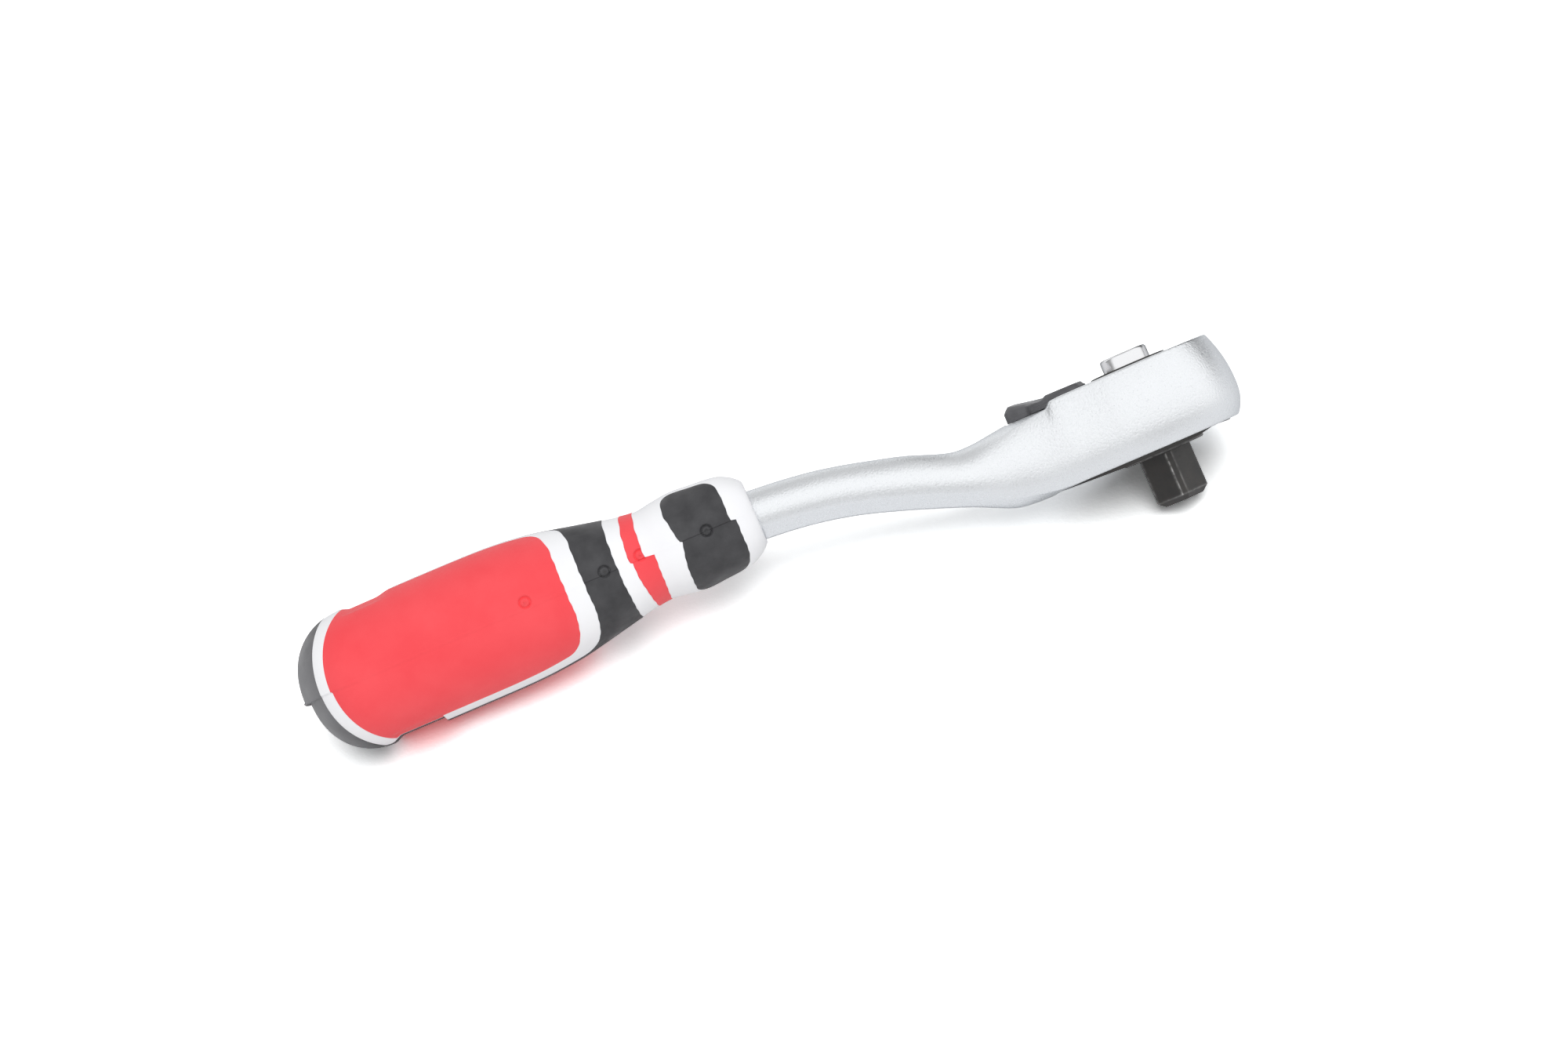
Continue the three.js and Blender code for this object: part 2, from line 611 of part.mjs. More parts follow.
function driveSquare() {
  const levels = [squareRing(squareEnd, SQUARE_END_BEVEL), squareRing(squareEnd + SQUARE_END_BEVEL, 0)];
  const square = lofted([...levels, squareRing(collarBottom + FIT_GAP, 0)]);
  const ballHole = disc(BALL_RADIUS + FIT_GAP, 0, SQUARE_ACROSS_FLATS, SMALL_SEGMENTS)
    .rotate([0, 90, 0])
    .translate([0, 0, ballHeight]);
  const turn = [0, 0, SQUARE_REST_TURN];
  return { square: square.rotate(turn), ballHole: ballHole.rotate(turn) };
}

function driveGear() {
  const { square, ballHole } = driveSquare();
  const bore = turned([
    [0, pinBoreFloor], [PIN_RADIUS + FIT_GAP, pinBoreFloor], [PIN_RADIUS + FIT_GAP, springSeat],
    [buttonBore, springSeat], [buttonBore, ringBottom - FIT_GAP], [ringGroove, ringBottom - FIT_GAP],
    [ringGroove, ringTop + FIT_GAP], [buttonBore, ringTop + FIT_GAP], [buttonBore, hubTop + OVERCUT],
    [0, hubTop + OVERCUT],
  ]);
  return raised(gearOutline(gearRadius, gearRootRadius), gearBottom, gearTop)
    .add(disc(HUB_RADIUS, 0, hubTop))
    .add(disc(DRIVE_COLLAR_RADIUS, collarBottom, 0))
    .add(square)
    .subtract(bore)
    .subtract(ballHole);
}

// Release button, ring, spring and ball

function releaseButton() {
  const top = landTop + BUTTON_HEIGHT;
  const ramp = PIN_RADIUS - PIN_NECK_RADIUS;
  const neckLow = ballHeight + BUTTON_TRAVEL - PIN_NECK_LENGTH / 2;
  const neckHigh = neckLow + PIN_NECK_LENGTH;
  const edgeTurn = BUTTON_EDGE * (1 - Math.SQRT1_2);
  return turned([
    [0, pinEnd], [PIN_RADIUS, pinEnd], [PIN_RADIUS, neckLow - ramp], [PIN_NECK_RADIUS, neckLow],
    [PIN_NECK_RADIUS, neckHigh], [PIN_RADIUS, neckHigh + ramp], [PIN_RADIUS, flangeBottom],
    [BUTTON_FLANGE_RADIUS, flangeBottom], [BUTTON_FLANGE_RADIUS, flangeTop], [BUTTON_RADIUS, flangeTop],
    [BUTTON_RADIUS, top - BUTTON_EDGE], [BUTTON_RADIUS - edgeTurn, top - edgeTurn],
    [BUTTON_RADIUS - BUTTON_EDGE, top], [0, top],
  ]);
}

function buttonRing() {
  return openRing(BUTTON_RADIUS + FIT_GAP, ringGroove - FIT_GAP, ringBottom, ringTop, RING_MOUTH_ANGLE);
}

function releaseSpring() {
  const radius = buttonBore - FIT_GAP - SPRING_WIRE_RADIUS;
  return coiled(radius, SPRING_WIRE_RADIUS, SPRING_TURNS, springSeat + FIT_GAP, flangeBottom - FIT_GAP);
}

function detentBall() {
  const turn = radians(SQUARE_REST_TURN);
  const ball = toSolid(new THREE.SphereGeometry(BALL_RADIUS, SMALL_SEGMENTS, SMALL_SEGMENTS / 2));
  return ball.translate([ballReach * Math.cos(turn), ballReach * Math.sin(turn), ballHeight]);
}

// Lever and pawl, about the lever pivot

// One cross-section of the lever: an upright side and a bevel up to the crest.
function leverRing(along, half) {
  const bevel = Math.min(LEVER_BEVEL, half / 2);
  const [side, crest] = [leverSide(along), leverCrest(along)].map((height) => leverBottom + height);
  const outline = [[half, leverBottom], [half, side], [half - bevel, crest]];
  const mirrored = outline.map(([y, z]) => [-y, z]).reverse();
  return [...outline, ...mirrored].map(([y, z]) => new THREE.Vector3(-along, y, z));
}

// The round hub with its raised top, the finger hollow behind it and the tab that rises to the tip.
function leverTop() {
  const rings = [];
  const tabStart = Math.PI - Math.asin(LEVER_ROOT_HALF_WIDTH / LEVER_HUB_RADIUS);
  for (let i = 0; i < LEVER_HUB_RINGS; i += 1) {
    const angle = THREE.MathUtils.lerp(radians(LEVER_FRONT_ANGLE), tabStart, i / LEVER_HUB_RINGS);
    rings.push(leverRing(-LEVER_HUB_RADIUS * Math.cos(angle), LEVER_HUB_RADIUS * Math.sin(angle)));
  }
  const from = -LEVER_HUB_RADIUS * Math.cos(tabStart);
  for (let i = 0; i < LEVER_TAB_RINGS; i += 1) {
    const share = i / LEVER_TAB_RINGS;
    const half = THREE.MathUtils.lerp(LEVER_ROOT_HALF_WIDTH, LEVER_TIP_HALF_WIDTH, share);
    rings.push(leverRing(THREE.MathUtils.lerp(from, LEVER_REACH, share), half));
  }
  rings.push(leverRing(LEVER_REACH, LEVER_TIP_HALF_WIDTH - LEVER_BEVEL));
  return lofted(rings);
}

function reverseLever() {
  const grooveTop = pawlBottom;
  const grooveRadius = SPINDLE_RADIUS - SPINDLE_GROOVE;
  const spindle = turned([
    [0, spindleEnd], [SPINDLE_RADIUS, spindleEnd], [SPINDLE_RADIUS, grooveBottom], [grooveRadius, grooveBottom],
    [grooveRadius, grooveTop], [SPINDLE_RADIUS, grooveTop], [SPINDLE_RADIUS, pocketTop],
    [SPINDLE_TOP_RADIUS, pocketTop], [SPINDLE_TOP_RADIUS, leverBottom + FIT_GAP], [0, leverBottom + FIT_GAP],
  ], ROUND_SEGMENTS / 2);
  const plungerHole = disc(PLUNGER_RADIUS + FIT_GAP, plungerHoleFloor, -SPINDLE_TOP_RADIUS, SMALL_SEGMENTS);
  return spindle.add(leverTop()).subtract(alongLever(plungerHole));
}

// Lays a piece that was turned about z along the lever, in the middle of the pawl's height.
function alongLever(solid) {
  return solid.rotate([0, 90, 0]).translate([0, 0, (pawlBottom + gearTop) / 2]);
}

function pawlPlunger() {
  const tip = -SPINDLE_RADIUS;
  const dome = PLUNGER_RADIUS / 2;
  return alongLever(turned([
    [0, tip], [PLUNGER_RADIUS - dome, tip], [PLUNGER_RADIUS, tip + dome],
    [PLUNGER_RADIUS, tip + PLUNGER_LENGTH], [0, tip + PLUNGER_LENGTH],
  ], SMALL_SEGMENTS));
}

function pawlSpring() {
  const low = PLUNGER_LENGTH - SPINDLE_RADIUS + FIT_GAP;
  const radius = PLUNGER_RADIUS - PAWL_SPRING_WIRE_RADIUS;
  return alongLever(coiled(radius, PAWL_SPRING_WIRE_RADIUS, PAWL_SPRING_TURNS, low, low + PAWL_SPRING_LENGTH));
}

function leverClip() {
  const inner = SPINDLE_RADIUS - SPINDLE_GROOVE + FIT_GAP;
  const low = grooveBottom + FIT_GAP;
  return openRing(inner, inner + CLIP_WIDTH, low, low + CLIP_THICKNESS, CLIP_MOUTH_ANGLE);
}

// A slice of a ring about the drive axis, facing the lever, seen from the pivot.
function arcSlice(inner, outer, halfAngle) {
  const half = radians(halfAngle);
  const shape = new THREE.Shape();
  shape.absarc(leverPivot, 0, outer, Math.PI - half, Math.PI + half, false);
  shape.absarc(leverPivot, 0, inner, Math.PI + half, Math.PI - half, true);
  shape.closePath();
  return raised(shape, pawlBottom, gearTop, SMALL_SEGMENTS);
}

function pawl() {
  const outline = gearOutline(gearRadius + MESH_GAP, gearRootRadius + MESH_GAP);
  const gear = raised(outline, gearBottom - OVERCUT, gearTop + OVERCUT).translate([leverPivot, 0, 0]);
  return arcSlice(gearRootRadius, pawlOuterRadius, PAWL_HALF_ANGLE)
    .subtract(arcSlice(gearRootRadius - OVERCUT, gearRadius + PAWL_WEB_RELIEF, PAWL_GAP_ANGLE))
    .add(disc(pawlRingRadius, pawlBottom, gearTop))
    .subtract(disc(SPINDLE_RADIUS + FIT_GAP, pawlBottom - OVERCUT, gearTop + OVERCUT))
    .subtract(gear.rotate([0, 0, PAWL_SWING / 2]))
    .subtract(gear.rotate([0, 0, -PAWL_SWING / 2]));
}

// Handle

// The handle's moulded form, drawn in by the inset everywhere but at its nose.
function handleForm(inset) {
  const roundStart = HANDLE_LENGTH - BUTT_ROUNDING;
  const ring = (along, share) => {
    const halfWidth = (handleHalfWidth(along) - inset) * share;
    const halfHeight = (handleHalfHeight(along) - inset) * share;
    return Array.from({ length: HANDLE_SEGMENTS }, (_, i) => {
      const angle = (2 * Math.PI * i) / HANDLE_SEGMENTS;
      const bent = (v) => Math.sign(v) * Math.abs(v) ** (2 / HANDLE_SQUARENESS);
      const y = halfWidth * bent(Math.cos(angle));
      const z = handleAxis + halfHeight * bent(Math.sin(angle));
      return new THREE.Vector3(-HANDLE_START - along, y, z);
    });
  };
  const rings = [];
  for (let i = 0; i <= HANDLE_RINGS; i += 1) {
    rings.push(ring((roundStart * i) / HANDLE_RINGS, 1));
  }
  for (let i = 1; i <= BUTT_RINGS; i += 1) {
    const angle = radians((BUTT_END_ANGLE * i) / BUTT_RINGS);
    const [outward, share] = [Math.sin(angle), Math.cos(angle)].map((v) => v ** (2 / BUTT_SQUARENESS));
    rings.push(ring(roundStart + (BUTT_ROUNDING - inset) * outward, share));
  }
  return lofted(rings);
}

// A region of the handle seen from above, between distances from the nose, grown by a seam.
function across(points) {
  const outline = points.map(([along, y]) => [-HANDLE_START - along, y]);
  return raised(polygon(outline), handleAxis - HANDLE_LENGTH, handleAxis + HANDLE_LENGTH);
}

function roundedRegion(start, end, inner, corner, seam) {
  const shape = new THREE.Shape();
  const [left, right] = [-HANDLE_START - end - seam, -HANDLE_START - start + seam];
  const low = inner - seam;
  const high = HANDLE_LENGTH;
  shape.moveTo(left, high);
  shape.lineTo(left, low + corner);
  shape.absarc(left + corner, low + corner, corner, Math.PI, 1.5 * Math.PI, false);
  shape.absarc(right - corner, low + corner, corner, -Math.PI / 2, 0, false);
  shape.lineTo(right, high);
  shape.closePath();
  return raised(shape, handleAxis - HANDLE_LENGTH, handleAxis + HANDLE_LENGTH, REGION_CORNER_SEGMENTS);
}

function slab(start, end, seam) {
  const [a, b] = [start - seam, end + seam];
  return across([[a, -HANDLE_LENGTH], [a, HANDLE_LENGTH], [b, HANDLE_LENGTH], [b, -HANDLE_LENGTH]]);
}

// The side view of the handle from its nose to an end curve near the butt.
function upToEndCurve(length, halfHeight) {
  const middle = -HANDLE_START - END_CURVE_START;
  const shape = new THREE.Shape();
  shape.moveTo(-HANDLE_START, -HANDLE_LENGTH);
  shape.lineTo(-HANDLE_START, HANDLE_LENGTH);
  shape.lineTo(middle, HANDLE_LENGTH);
  shape.lineTo(middle, halfHeight);
  shape.absellipse(middle, 0, length, halfHeight, Math.PI / 2, 1.5 * Math.PI, false, 0);
  shape.lineTo(middle, -HANDLE_LENGTH);
  shape.closePath();
  return raised(shape, -HANDLE_LENGTH, HANDLE_LENGTH, SMALL_SEGMENTS)
    .rotate([90, 0, 0])
    .translate([0, 0, handleAxis]);
}

// White shows on each side between the black ring, the narrow spines and the black cap.
function blackRegion(seam) {
  const frame = roundedRegion(BLACK_RING_END, 2 * HANDLE_LENGTH, SPINE_HALF_WIDTH, FRAME_CORNER, -seam)
    .intersect(upToEndCurve(CAP_EDGE_LENGTH - seam, CAP_EDGE_HALF_HEIGHT - seam));
  return slab(BLACK_RING_START, 2 * HANDLE_LENGTH, seam)
    .subtract(frame)
    .subtract(frame.mirror([0, 1, 0]));
}

function panelRegion(seam) {
  const inner = SPINE_HALF_WIDTH + PANEL_OUTLINE;
  return roundedRegion(PANEL_START, 2 * HANDLE_LENGTH, inner, PANEL_CORNER, seam)
    .intersect(upToEndCurve(PANEL_END_LENGTH + seam, PANEL_END_HALF_HEIGHT + seam));
}

function padRegion(seam) {
  return roundedRegion(PAD_START, PAD_END, PAD_SPINE_GAP, PAD_CORNER, seam);
}

// The flat label places on the top and the bottom of the handle.
function labelCut() {
  const middle = (LABEL_START + LABEL_END) / 2;
  const level = handleHalfHeight(middle) - LABEL_DEPTH;
  const [left, right] = [-HANDLE_START - LABEL_END, -HANDLE_START - LABEL_START];
  const outline = polygon([[left, -HANDLE_LENGTH], [right, -HANDLE_LENGTH], [right, HANDLE_LENGTH],
    [left, HANDLE_LENGTH]]);
  return raised(outline, handleAxis + level, handleAxis + HANDLE_LENGTH)
    .add(raised(outline, handleAxis - HANDLE_LENGTH, handleAxis - level));
}

function tangBore() {
  const rings = [];
  const [from, to] = [HANDLE_START - OVERCUT, tangEnd + FIT_GAP];
  for (let i = 0; i <= TANG_BORE_RINGS; i += 1) {
    const reach = THREE.MathUtils.lerp(from, to, i / TANG_BORE_RINGS);
    const angles = Array.from({ length: SMALL_SEGMENTS }, (_, k) => (2 * Math.PI * k) / SMALL_SEGMENTS);
    rings.push(angles.map((angle) => neckOval(reach, angle, TANG_GAP)));
  }
  return lofted(rings);
}

function handlePieces() {
  const form = handleForm(0).subtract(labelCut());
  const underGrips = handleForm(GRIP_DEPTH);
  const recessFloor = handleForm(GRIP_DEPTH + FIT_GAP);
  const mirrored = (solid) => solid.mirror([0, 1, 0]);
  const regions = {
    black_grip: blackRegion,
    red_band: (seam) => slab(BAND_START, BAND_END, seam),
    red_grip_left: panelRegion,
    red_grip_right: (seam) => mirrored(panelRegion(seam)),
    collar_pad_left: padRegion,
    collar_pad_right: (seam) => mirrored(padRegion(seam)),
  };
  const pieces = { handle_core: form.subtract(tangBore()) };
  for (const [name, region] of Object.entries(regions)) {
    pieces[name] = form.intersect(region(0)).subtract(underGrips);
    pieces.handle_core = pieces.handle_core.subtract(region(FIT_GAP).subtract(recessFloor));
  }
  return pieces;
}

// Finishes

const FINISHES = {
  satinChrome: { color: 0xd5d9de, metalness: 1, roughness: 0.38 },
  brightChrome: { color: 0xe4e6ea, metalness: 1, roughness: 0.12 },
  blackSteel: { color: 0x2b2a2b, metalness: 0.9, roughness: 0.45 },
  springSteel: { color: 0x9a9da1, metalness: 1, roughness: 0.3 },
  blackLever: { color: 0x3b3b3e, metalness: 0.4, roughness: 0.5 },
  whitePlastic: { color: 0xf1f1f5, metalness: 0, roughness: 0.45 },
  redRubber: { color: 0xe8323d, metalness: 0, roughness: 0.7 },
  blackRubber: { color: 0x3a3a3d, metalness: 0, roughness: 0.75 },
};

function named(name, solid, finish) {
  const mesh = new THREE.Mesh(toGeometry(solid), new THREE.MeshStandardMaterial(FINISHES[finish]));
  mesh.name = name;
  return mesh;
}

// Assembly

function pivoted(turnDegrees, meshes) {
  const group = new THREE.Group();
  group.position.x = -leverPivot;
  group.rotation.z = radians(turnDegrees);
  group.add(...meshes);
  return group;
}

function assembledTool() {
  const tool = new THREE.Group();
  tool.add(named('ratchet_body', ratchetBody(), 'satinChrome'));
  tool.add(named('cover_plate', coverPlate(), 'blackSteel'));
  screwPlaces.forEach(([x, y], i) => {
    const screw = named(`cover_screw_${i + 1}`, coverScrew(), 'blackSteel');
    screw.position.set(x, y, 0);
    tool.add(screw);
  });
  tool.add(named('friction_washer', frictionWasher(), 'springSteel'));
  tool.add(named('drive_gear', driveGear(), 'blackSteel'));
  tool.add(named('release_button', releaseButton(), 'brightChrome'));
  tool.add(named('button_retaining_ring', buttonRing(), 'springSteel'));
  tool.add(named('release_spring', releaseSpring(), 'springSteel'));
  tool.add(named('detent_ball', detentBall(), 'springSteel'));
  tool.add(pivoted(-LEVER_SWING / 2, [
    named('reverse_lever', reverseLever(), 'blackLever'),
    named('pawl_plunger', pawlPlunger(), 'springSteel'),
    named('pawl_spring', pawlSpring(), 'springSteel'),
    named('lever_retaining_clip', leverClip(), 'springSteel'),
  ]));
  tool.add(pivoted(-PAWL_SWING / 2, [named('pawl', pawl(), 'springSteel')]));
  const rubber = { red_grip_left: 'redRubber', red_grip_right: 'redRubber', red_band: 'redRubber' };
  for (const [name, solid] of Object.entries(handlePieces())) {
    const finish = name === 'handle_core' ? 'whitePlastic' : rubber[name] ?? 'blackRubber';
    tool.add(named(name, solid, finish));
  }
  return tool;
}

// How the tool rests: on its drive square, the rim of its head and its butt.

function cornersOf(tool, names, keep) {
  const corners = [];
  for (const name of names) {
    const positions = tool.getObjectByName(name).geometry.attributes.position;
    for (let i = 0; i < positions.count; i += 1) {
      const corner = new THREE.Vector3().fromBufferAttribute(positions, i);
      if (keep(corner)) {
        corners.push(corner);
      }
    }
  }
  return corners;
}

function benchNormal(tool) {
  const supports = [
    cornersOf(tool, ['drive_gear'], (p) => p.z < landBottom),
    cornersOf(tool, ['ratchet_body'], (p) => p.x > -leverPivot),
    cornersOf(tool, ['handle_core', 'black_grip', 'red_grip_left'], (p) => p.x < -HANDLE_START),
  ];
  const normal = LEAN_GUESS.clone().normalize();
  for (let i = 0; i < LEAN_ROUNDS; i += 1) {
    const lowest = supports.map((corners) => corners.reduce((a, b) => (b.dot(normal) < a.dot(normal) ? b : a)));
    const plane = new THREE.Plane().setFromCoplanarPoints(...lowest);
    normal.copy(plane.normal).multiplyScalar(Math.sign(plane.normal.dot(normal)));
  }
  return normal;
}

function laidOnBench(tool) {
  const up = benchNormal(tool);
  const along = new THREE.Vector3(1, 0, 0).addScaledVector(up, -up.x).normalize();
  const side = new THREE.Vector3().crossVectors(up, along);
  const bench = new THREE.Group();
  bench.add(tool);
  tool.quaternion.setFromRotationMatrix(new THREE.Matrix4().makeBasis(along, side, up).invert());
  bench.updateMatrixWorld(true);
  const box = new THREE.Box3().setFromObject(bench, true);
  const middle = box.getCenter(new THREE.Vector3());
  tool.position.set(-middle.x, -middle.y, -box.min.z);
  bench.updateMatrixWorld(true);
  return bench;
}

export default laidOnBench(assembledTool());
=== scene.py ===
"""Dresses a small reversible ratchet for its studio picture.

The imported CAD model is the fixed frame. The forged head and neck, the moulded handle with its soft patches, the
lever, the plate with its screws, the drive with its ball, the button and its spring get fine meshes over it. The
rest of the hidden works keep their CAD solids. Sizes are in millimetres along the tool's own axes: x to the front
of the head, z up the drive axis, the handle towards -x. Angles are in degrees, apart from those that only space
the rings and columns of a mesh, which are in radians.
"""

import json
import logging
import math
from dataclasses import dataclass
from enum import Enum
from typing import Callable, Iterable, Protocol, Sequence

import bmesh
import bpy
import numpy as np
from mathutils import Matrix, Vector


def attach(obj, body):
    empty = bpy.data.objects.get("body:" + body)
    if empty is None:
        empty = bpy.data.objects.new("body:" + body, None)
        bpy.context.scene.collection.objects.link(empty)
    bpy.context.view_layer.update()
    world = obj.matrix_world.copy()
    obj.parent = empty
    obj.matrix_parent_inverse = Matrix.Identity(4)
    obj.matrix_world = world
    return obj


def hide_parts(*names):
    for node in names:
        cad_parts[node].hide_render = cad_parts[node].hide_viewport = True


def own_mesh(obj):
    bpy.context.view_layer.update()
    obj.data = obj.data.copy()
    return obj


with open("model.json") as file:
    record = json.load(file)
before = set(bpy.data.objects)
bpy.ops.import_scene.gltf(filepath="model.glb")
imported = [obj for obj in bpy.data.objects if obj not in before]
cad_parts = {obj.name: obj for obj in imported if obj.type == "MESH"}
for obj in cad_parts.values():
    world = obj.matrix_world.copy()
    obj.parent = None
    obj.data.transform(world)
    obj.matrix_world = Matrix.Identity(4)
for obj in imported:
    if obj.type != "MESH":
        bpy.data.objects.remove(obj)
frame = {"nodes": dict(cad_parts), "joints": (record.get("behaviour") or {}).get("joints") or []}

LOG = logging.getLogger("ratchet")
MM = 0.001
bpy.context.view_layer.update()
WEAR = "wear"

Point = tuple[float, float, float]
Corner = tuple[float, float, float]
Colour = tuple[float, float, float]
Span = tuple[float, float]
Halves = tuple[float, float]
Face = tuple[int, ...]
Piece = bpy.types.Object
Socket = bpy.types.NodeSocket

WHITE: Colour = (1.0, 1.0, 1.0)
BLACK: Colour = (0.0, 0.0, 0.0)
WHOLE: Span = (0.0, 1.0)
NOISE_SPAN: Span = (0.3, 0.7)
WELD = 1e-7  # metres within which two corners are one
TINY = 1e-6  # keeps a divisor or a sign clear of zero
OUTSIDE = -1.0  # a signed distance well outside a patch


class Body(Enum):
    """The bodies that the new pieces ride on."""

    HANDLE = "handle"
    DRIVE = "drive"
    BUTTON = "button"
    BALL = "ball"
    LEVER = "lever"


class Slot(Enum):
    """The material slots of the record."""

    SATIN_CHROME = "satin_chrome"
    BRIGHT_CHROME = "bright_chrome"
    BLACK_STEEL = "black_steel"
    SPRING_STEEL = "spring_steel"
    BLACK_LEVER = "black_lever"
    WHITE_PLASTIC = "white_plastic"
    RED_RUBBER = "red_rubber"
    BLACK_RUBBER = "black_rubber"


class Cut(Enum):
    """How one solid changes another."""

    TAKE_AWAY = "DIFFERENCE"
    JOIN = "UNION"


@dataclass(frozen=True)
class ToolAxes:
    """The tool's own axes, as they lie in the row frame.

    Args:
        matrix: Places tool points, in metres, in the row frame.
        lever_pivot: Distance from the drive axis back to the lever pivot, in millimetres.
    """

    matrix: Matrix
    lever_pivot: float

    @classmethod
    def from_joints(cls, joints: Sequence[dict]) -> "ToolAxes":
        """Finds the axes from the joints of the drive and the lever.

        Args:
            joints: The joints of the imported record.

        Returns:
            The tool's axes.
        """
        by_name = {joint["name"]: joint for joint in joints}
        drive = Vector(by_name["drive_turn"]["pos_m"])
        pivot = Vector(by_name["lever_flip"]["pos_m"])
        up = Vector(by_name["drive_turn"]["axis"]).normalized()
        forward = (drive - pivot).normalized()
        side = up.cross(forward).normalized()
        matrix = Matrix((side.cross(up), side, up)).transposed().to_4x4()
        matrix.translation = drive
        return cls(matrix, (drive - pivot).length / MM)

    def direction(self, tool_vector: Sequence[float]) -> Vector:
        """Turns a direction along the tool's axes into the row frame."""
        return (self.matrix.to_3x3() @ Vector(tool_vector)).normalized()

    def place(self, tool_point: Sequence[float]) -> Vector:
        """Puts a point, in millimetres along the tool's axes, in the row frame."""
        return self.matrix @ (Vector(tool_point) * MM)


TOOL = ToolAxes.from_joints(frame["joints"])


def smoothstep(value: np.ndarray | float, low: float, high: float) -> np.ndarray:
    """Eases from 0 at low to 1 at high."""
    share = np.clip((np.asarray(value, float) - low) / (high - low), 0.0, 1.0)
    return share * share * (3.0 - 2.0 * share)


def bell(away: np.ndarray, width: float) -> np.ndarray:
    """Falls from 1 in the middle towards 0, as a bell curve of that width does."""
    return np.exp(-((away / width) ** 2))


def bent(value: np.ndarray, power: float) -> np.ndarray:
    """Fills out a sine or cosine, for an oval of that power."""
    return np.sign(value) * np.abs(value) ** (2 / power)


class StationCurve:
    """A smooth curve through a few stations along the tool."""

    def __init__(self, places: Sequence[float], values: Sequence[float]) -> None:
        """Keeps the stations and the slope at each.

        Args:
            places: Rising positions of the stations.
            values: The size at each station.
        """
        self.places = np.array(places, float)
        self.values = np.array(values, float)
        padded_places = np.concatenate((self.places[:1], self.places, self.places[-1:]))
        padded_values = np.concatenate((self.values[:1], self.values, self.values[-1:]))
        self.slopes = (padded_values[2:] - padded_values[:-2]) / (padded_places[2:] - padded_places[:-2])

    def __call__(self, where: np.ndarray | float) -> np.ndarray:
        """Reads the curve.

        Args:
            where: One position or many; those beyond the ends take the end value.

        Returns:
            The size at each position.
        """
        x = np.clip(np.asarray(where, float), self.places[0], self.places[-1])
        i = np.clip(np.searchsorted(self.places, x, side="left") - 1, 0, len(self.places) - 2)
        span = self.places[i + 1] - self.places[i]
        t = (x - self.places[i]) / span
        bend = 2 * t**3 - 3 * t**2
        lift = self.slopes[i] * span * (t**3 - 2 * t**2 + t) + self.slopes[i + 1] * span * (t**3 - t**2)
        return self.values[i] * (1 + bend) - self.values[i + 1] * bend + lift


# Meshes


def solid_object(name: str, points: np.ndarray, faces: Iterable[Sequence[int]]) -> Piece:
    """Makes an object of a closed skin given along the tool's axes.

    Args:
        name: The piece's name.
        points: Corners in millimetres.
        faces: Corner numbers of each face.

    Returns:
        The object, placed in the row frame, with its faces turned outwards.
    """
    mesh = bpy.data.meshes.new(name)
    mesh.from_pydata((np.asarray(points, float) * MM).tolist(), [], [tuple(face) for face in faces])
    tidy = bmesh.new()
    tidy.from_mesh(mesh)
    bmesh.ops.remove_doubles(tidy, verts=tidy.verts, dist=WELD)
    bmesh.ops.dissolve_degenerate(tidy, edges=tidy.edges, dist=WELD)
    bmesh.ops.recalc_face_normals(tidy, faces=tidy.faces)
    tidy.to_mesh(mesh)
    tidy.free()
    piece = bpy.data.objects.new(name, mesh)
    piece.matrix_world = TOOL.matrix
    bpy.context.scene.collection.objects.link(piece)
    return piece


def skin_faces(rings: int, columns: int) -> list[Face]:
    """Lists the faces of a tube of rings, with a cap on each end.

    Args:
        rings: How many rings the tube has.
        columns: How many points each ring has.

    Returns:
        Corner numbers of each face.
    """
    faces: list[Face] = []
    for i in range(rings - 1):
        for j in range(columns):
            k = (j + 1) % columns
            faces.append((i * columns + j, i * columns + k, (i + 1) * columns + k, (i + 1) * columns + j))
    faces.append(tuple(range(columns)))
    faces.append(tuple(range((rings - 1) * columns, rings * columns)))
    return faces


def lofted(name: str, rings: np.ndarray) -> Piece:
    """Skins rings of points, given as an array of rings by points by three."""
    count, columns, _ = rings.shape
    return solid_object(name, rings.reshape(-1, 3), skin_faces(count, columns))


def eased_outline(corners: Sequence[Corner], closed: bool, steps: int = 5) -> np.ndarray:
    """Rounds the corners of a flat outline.

    Args:
        corners: Two coordinates and the rounding of each corner.
        closed: Whether the last corner joins the first.
        steps: Points in each rounding.

    Returns:
        The points of the eased outline.
    """
    flat = np.array([corner[:2] for corner in corners], float)
    eased: list[np.ndarray] = []
    for i, (_, _, rounding) in enumerate(corners):
        ends = not closed and i in (0, len(corners) - 1)
        if rounding <= 0 or ends:
            eased.append(flat[i])
            continue
        before = flat[i - 1] - flat[i]
        after = flat[(i + 1) % len(flat)] - flat[i]
        first = flat[i] + before / np.linalg.norm(before) * rounding
        last = flat[i] + after / np.linalg.norm(after) * rounding
        for t in np.linspace(0, 1, steps):
            eased.append((1 - t) ** 2 * first + 2 * t * (1 - t) * flat[i] + t**2 * last)
    return np.array(eased)


def spaced(outline: np.ndarray, corner_points: int, count: int) -> np.ndarray:
    """Divides the straight runs of a closed outline with rounded corners.

    Args:
        outline: The outline's points.
        corner_points: How many points each corner has.
        count: Into how many pieces each straight run is divided.

    Returns:
        The points with those between them.
    """
    points = []
    for i, (here, following) in enumerate(zip(outline, np.roll(outline, -1, axis=0))):
        pieces = count if (i + 1) % corner_points == 0 else 1
        points += [here + (following - here) * k / pieces for k in range(pieces)]
    return np.array(points)


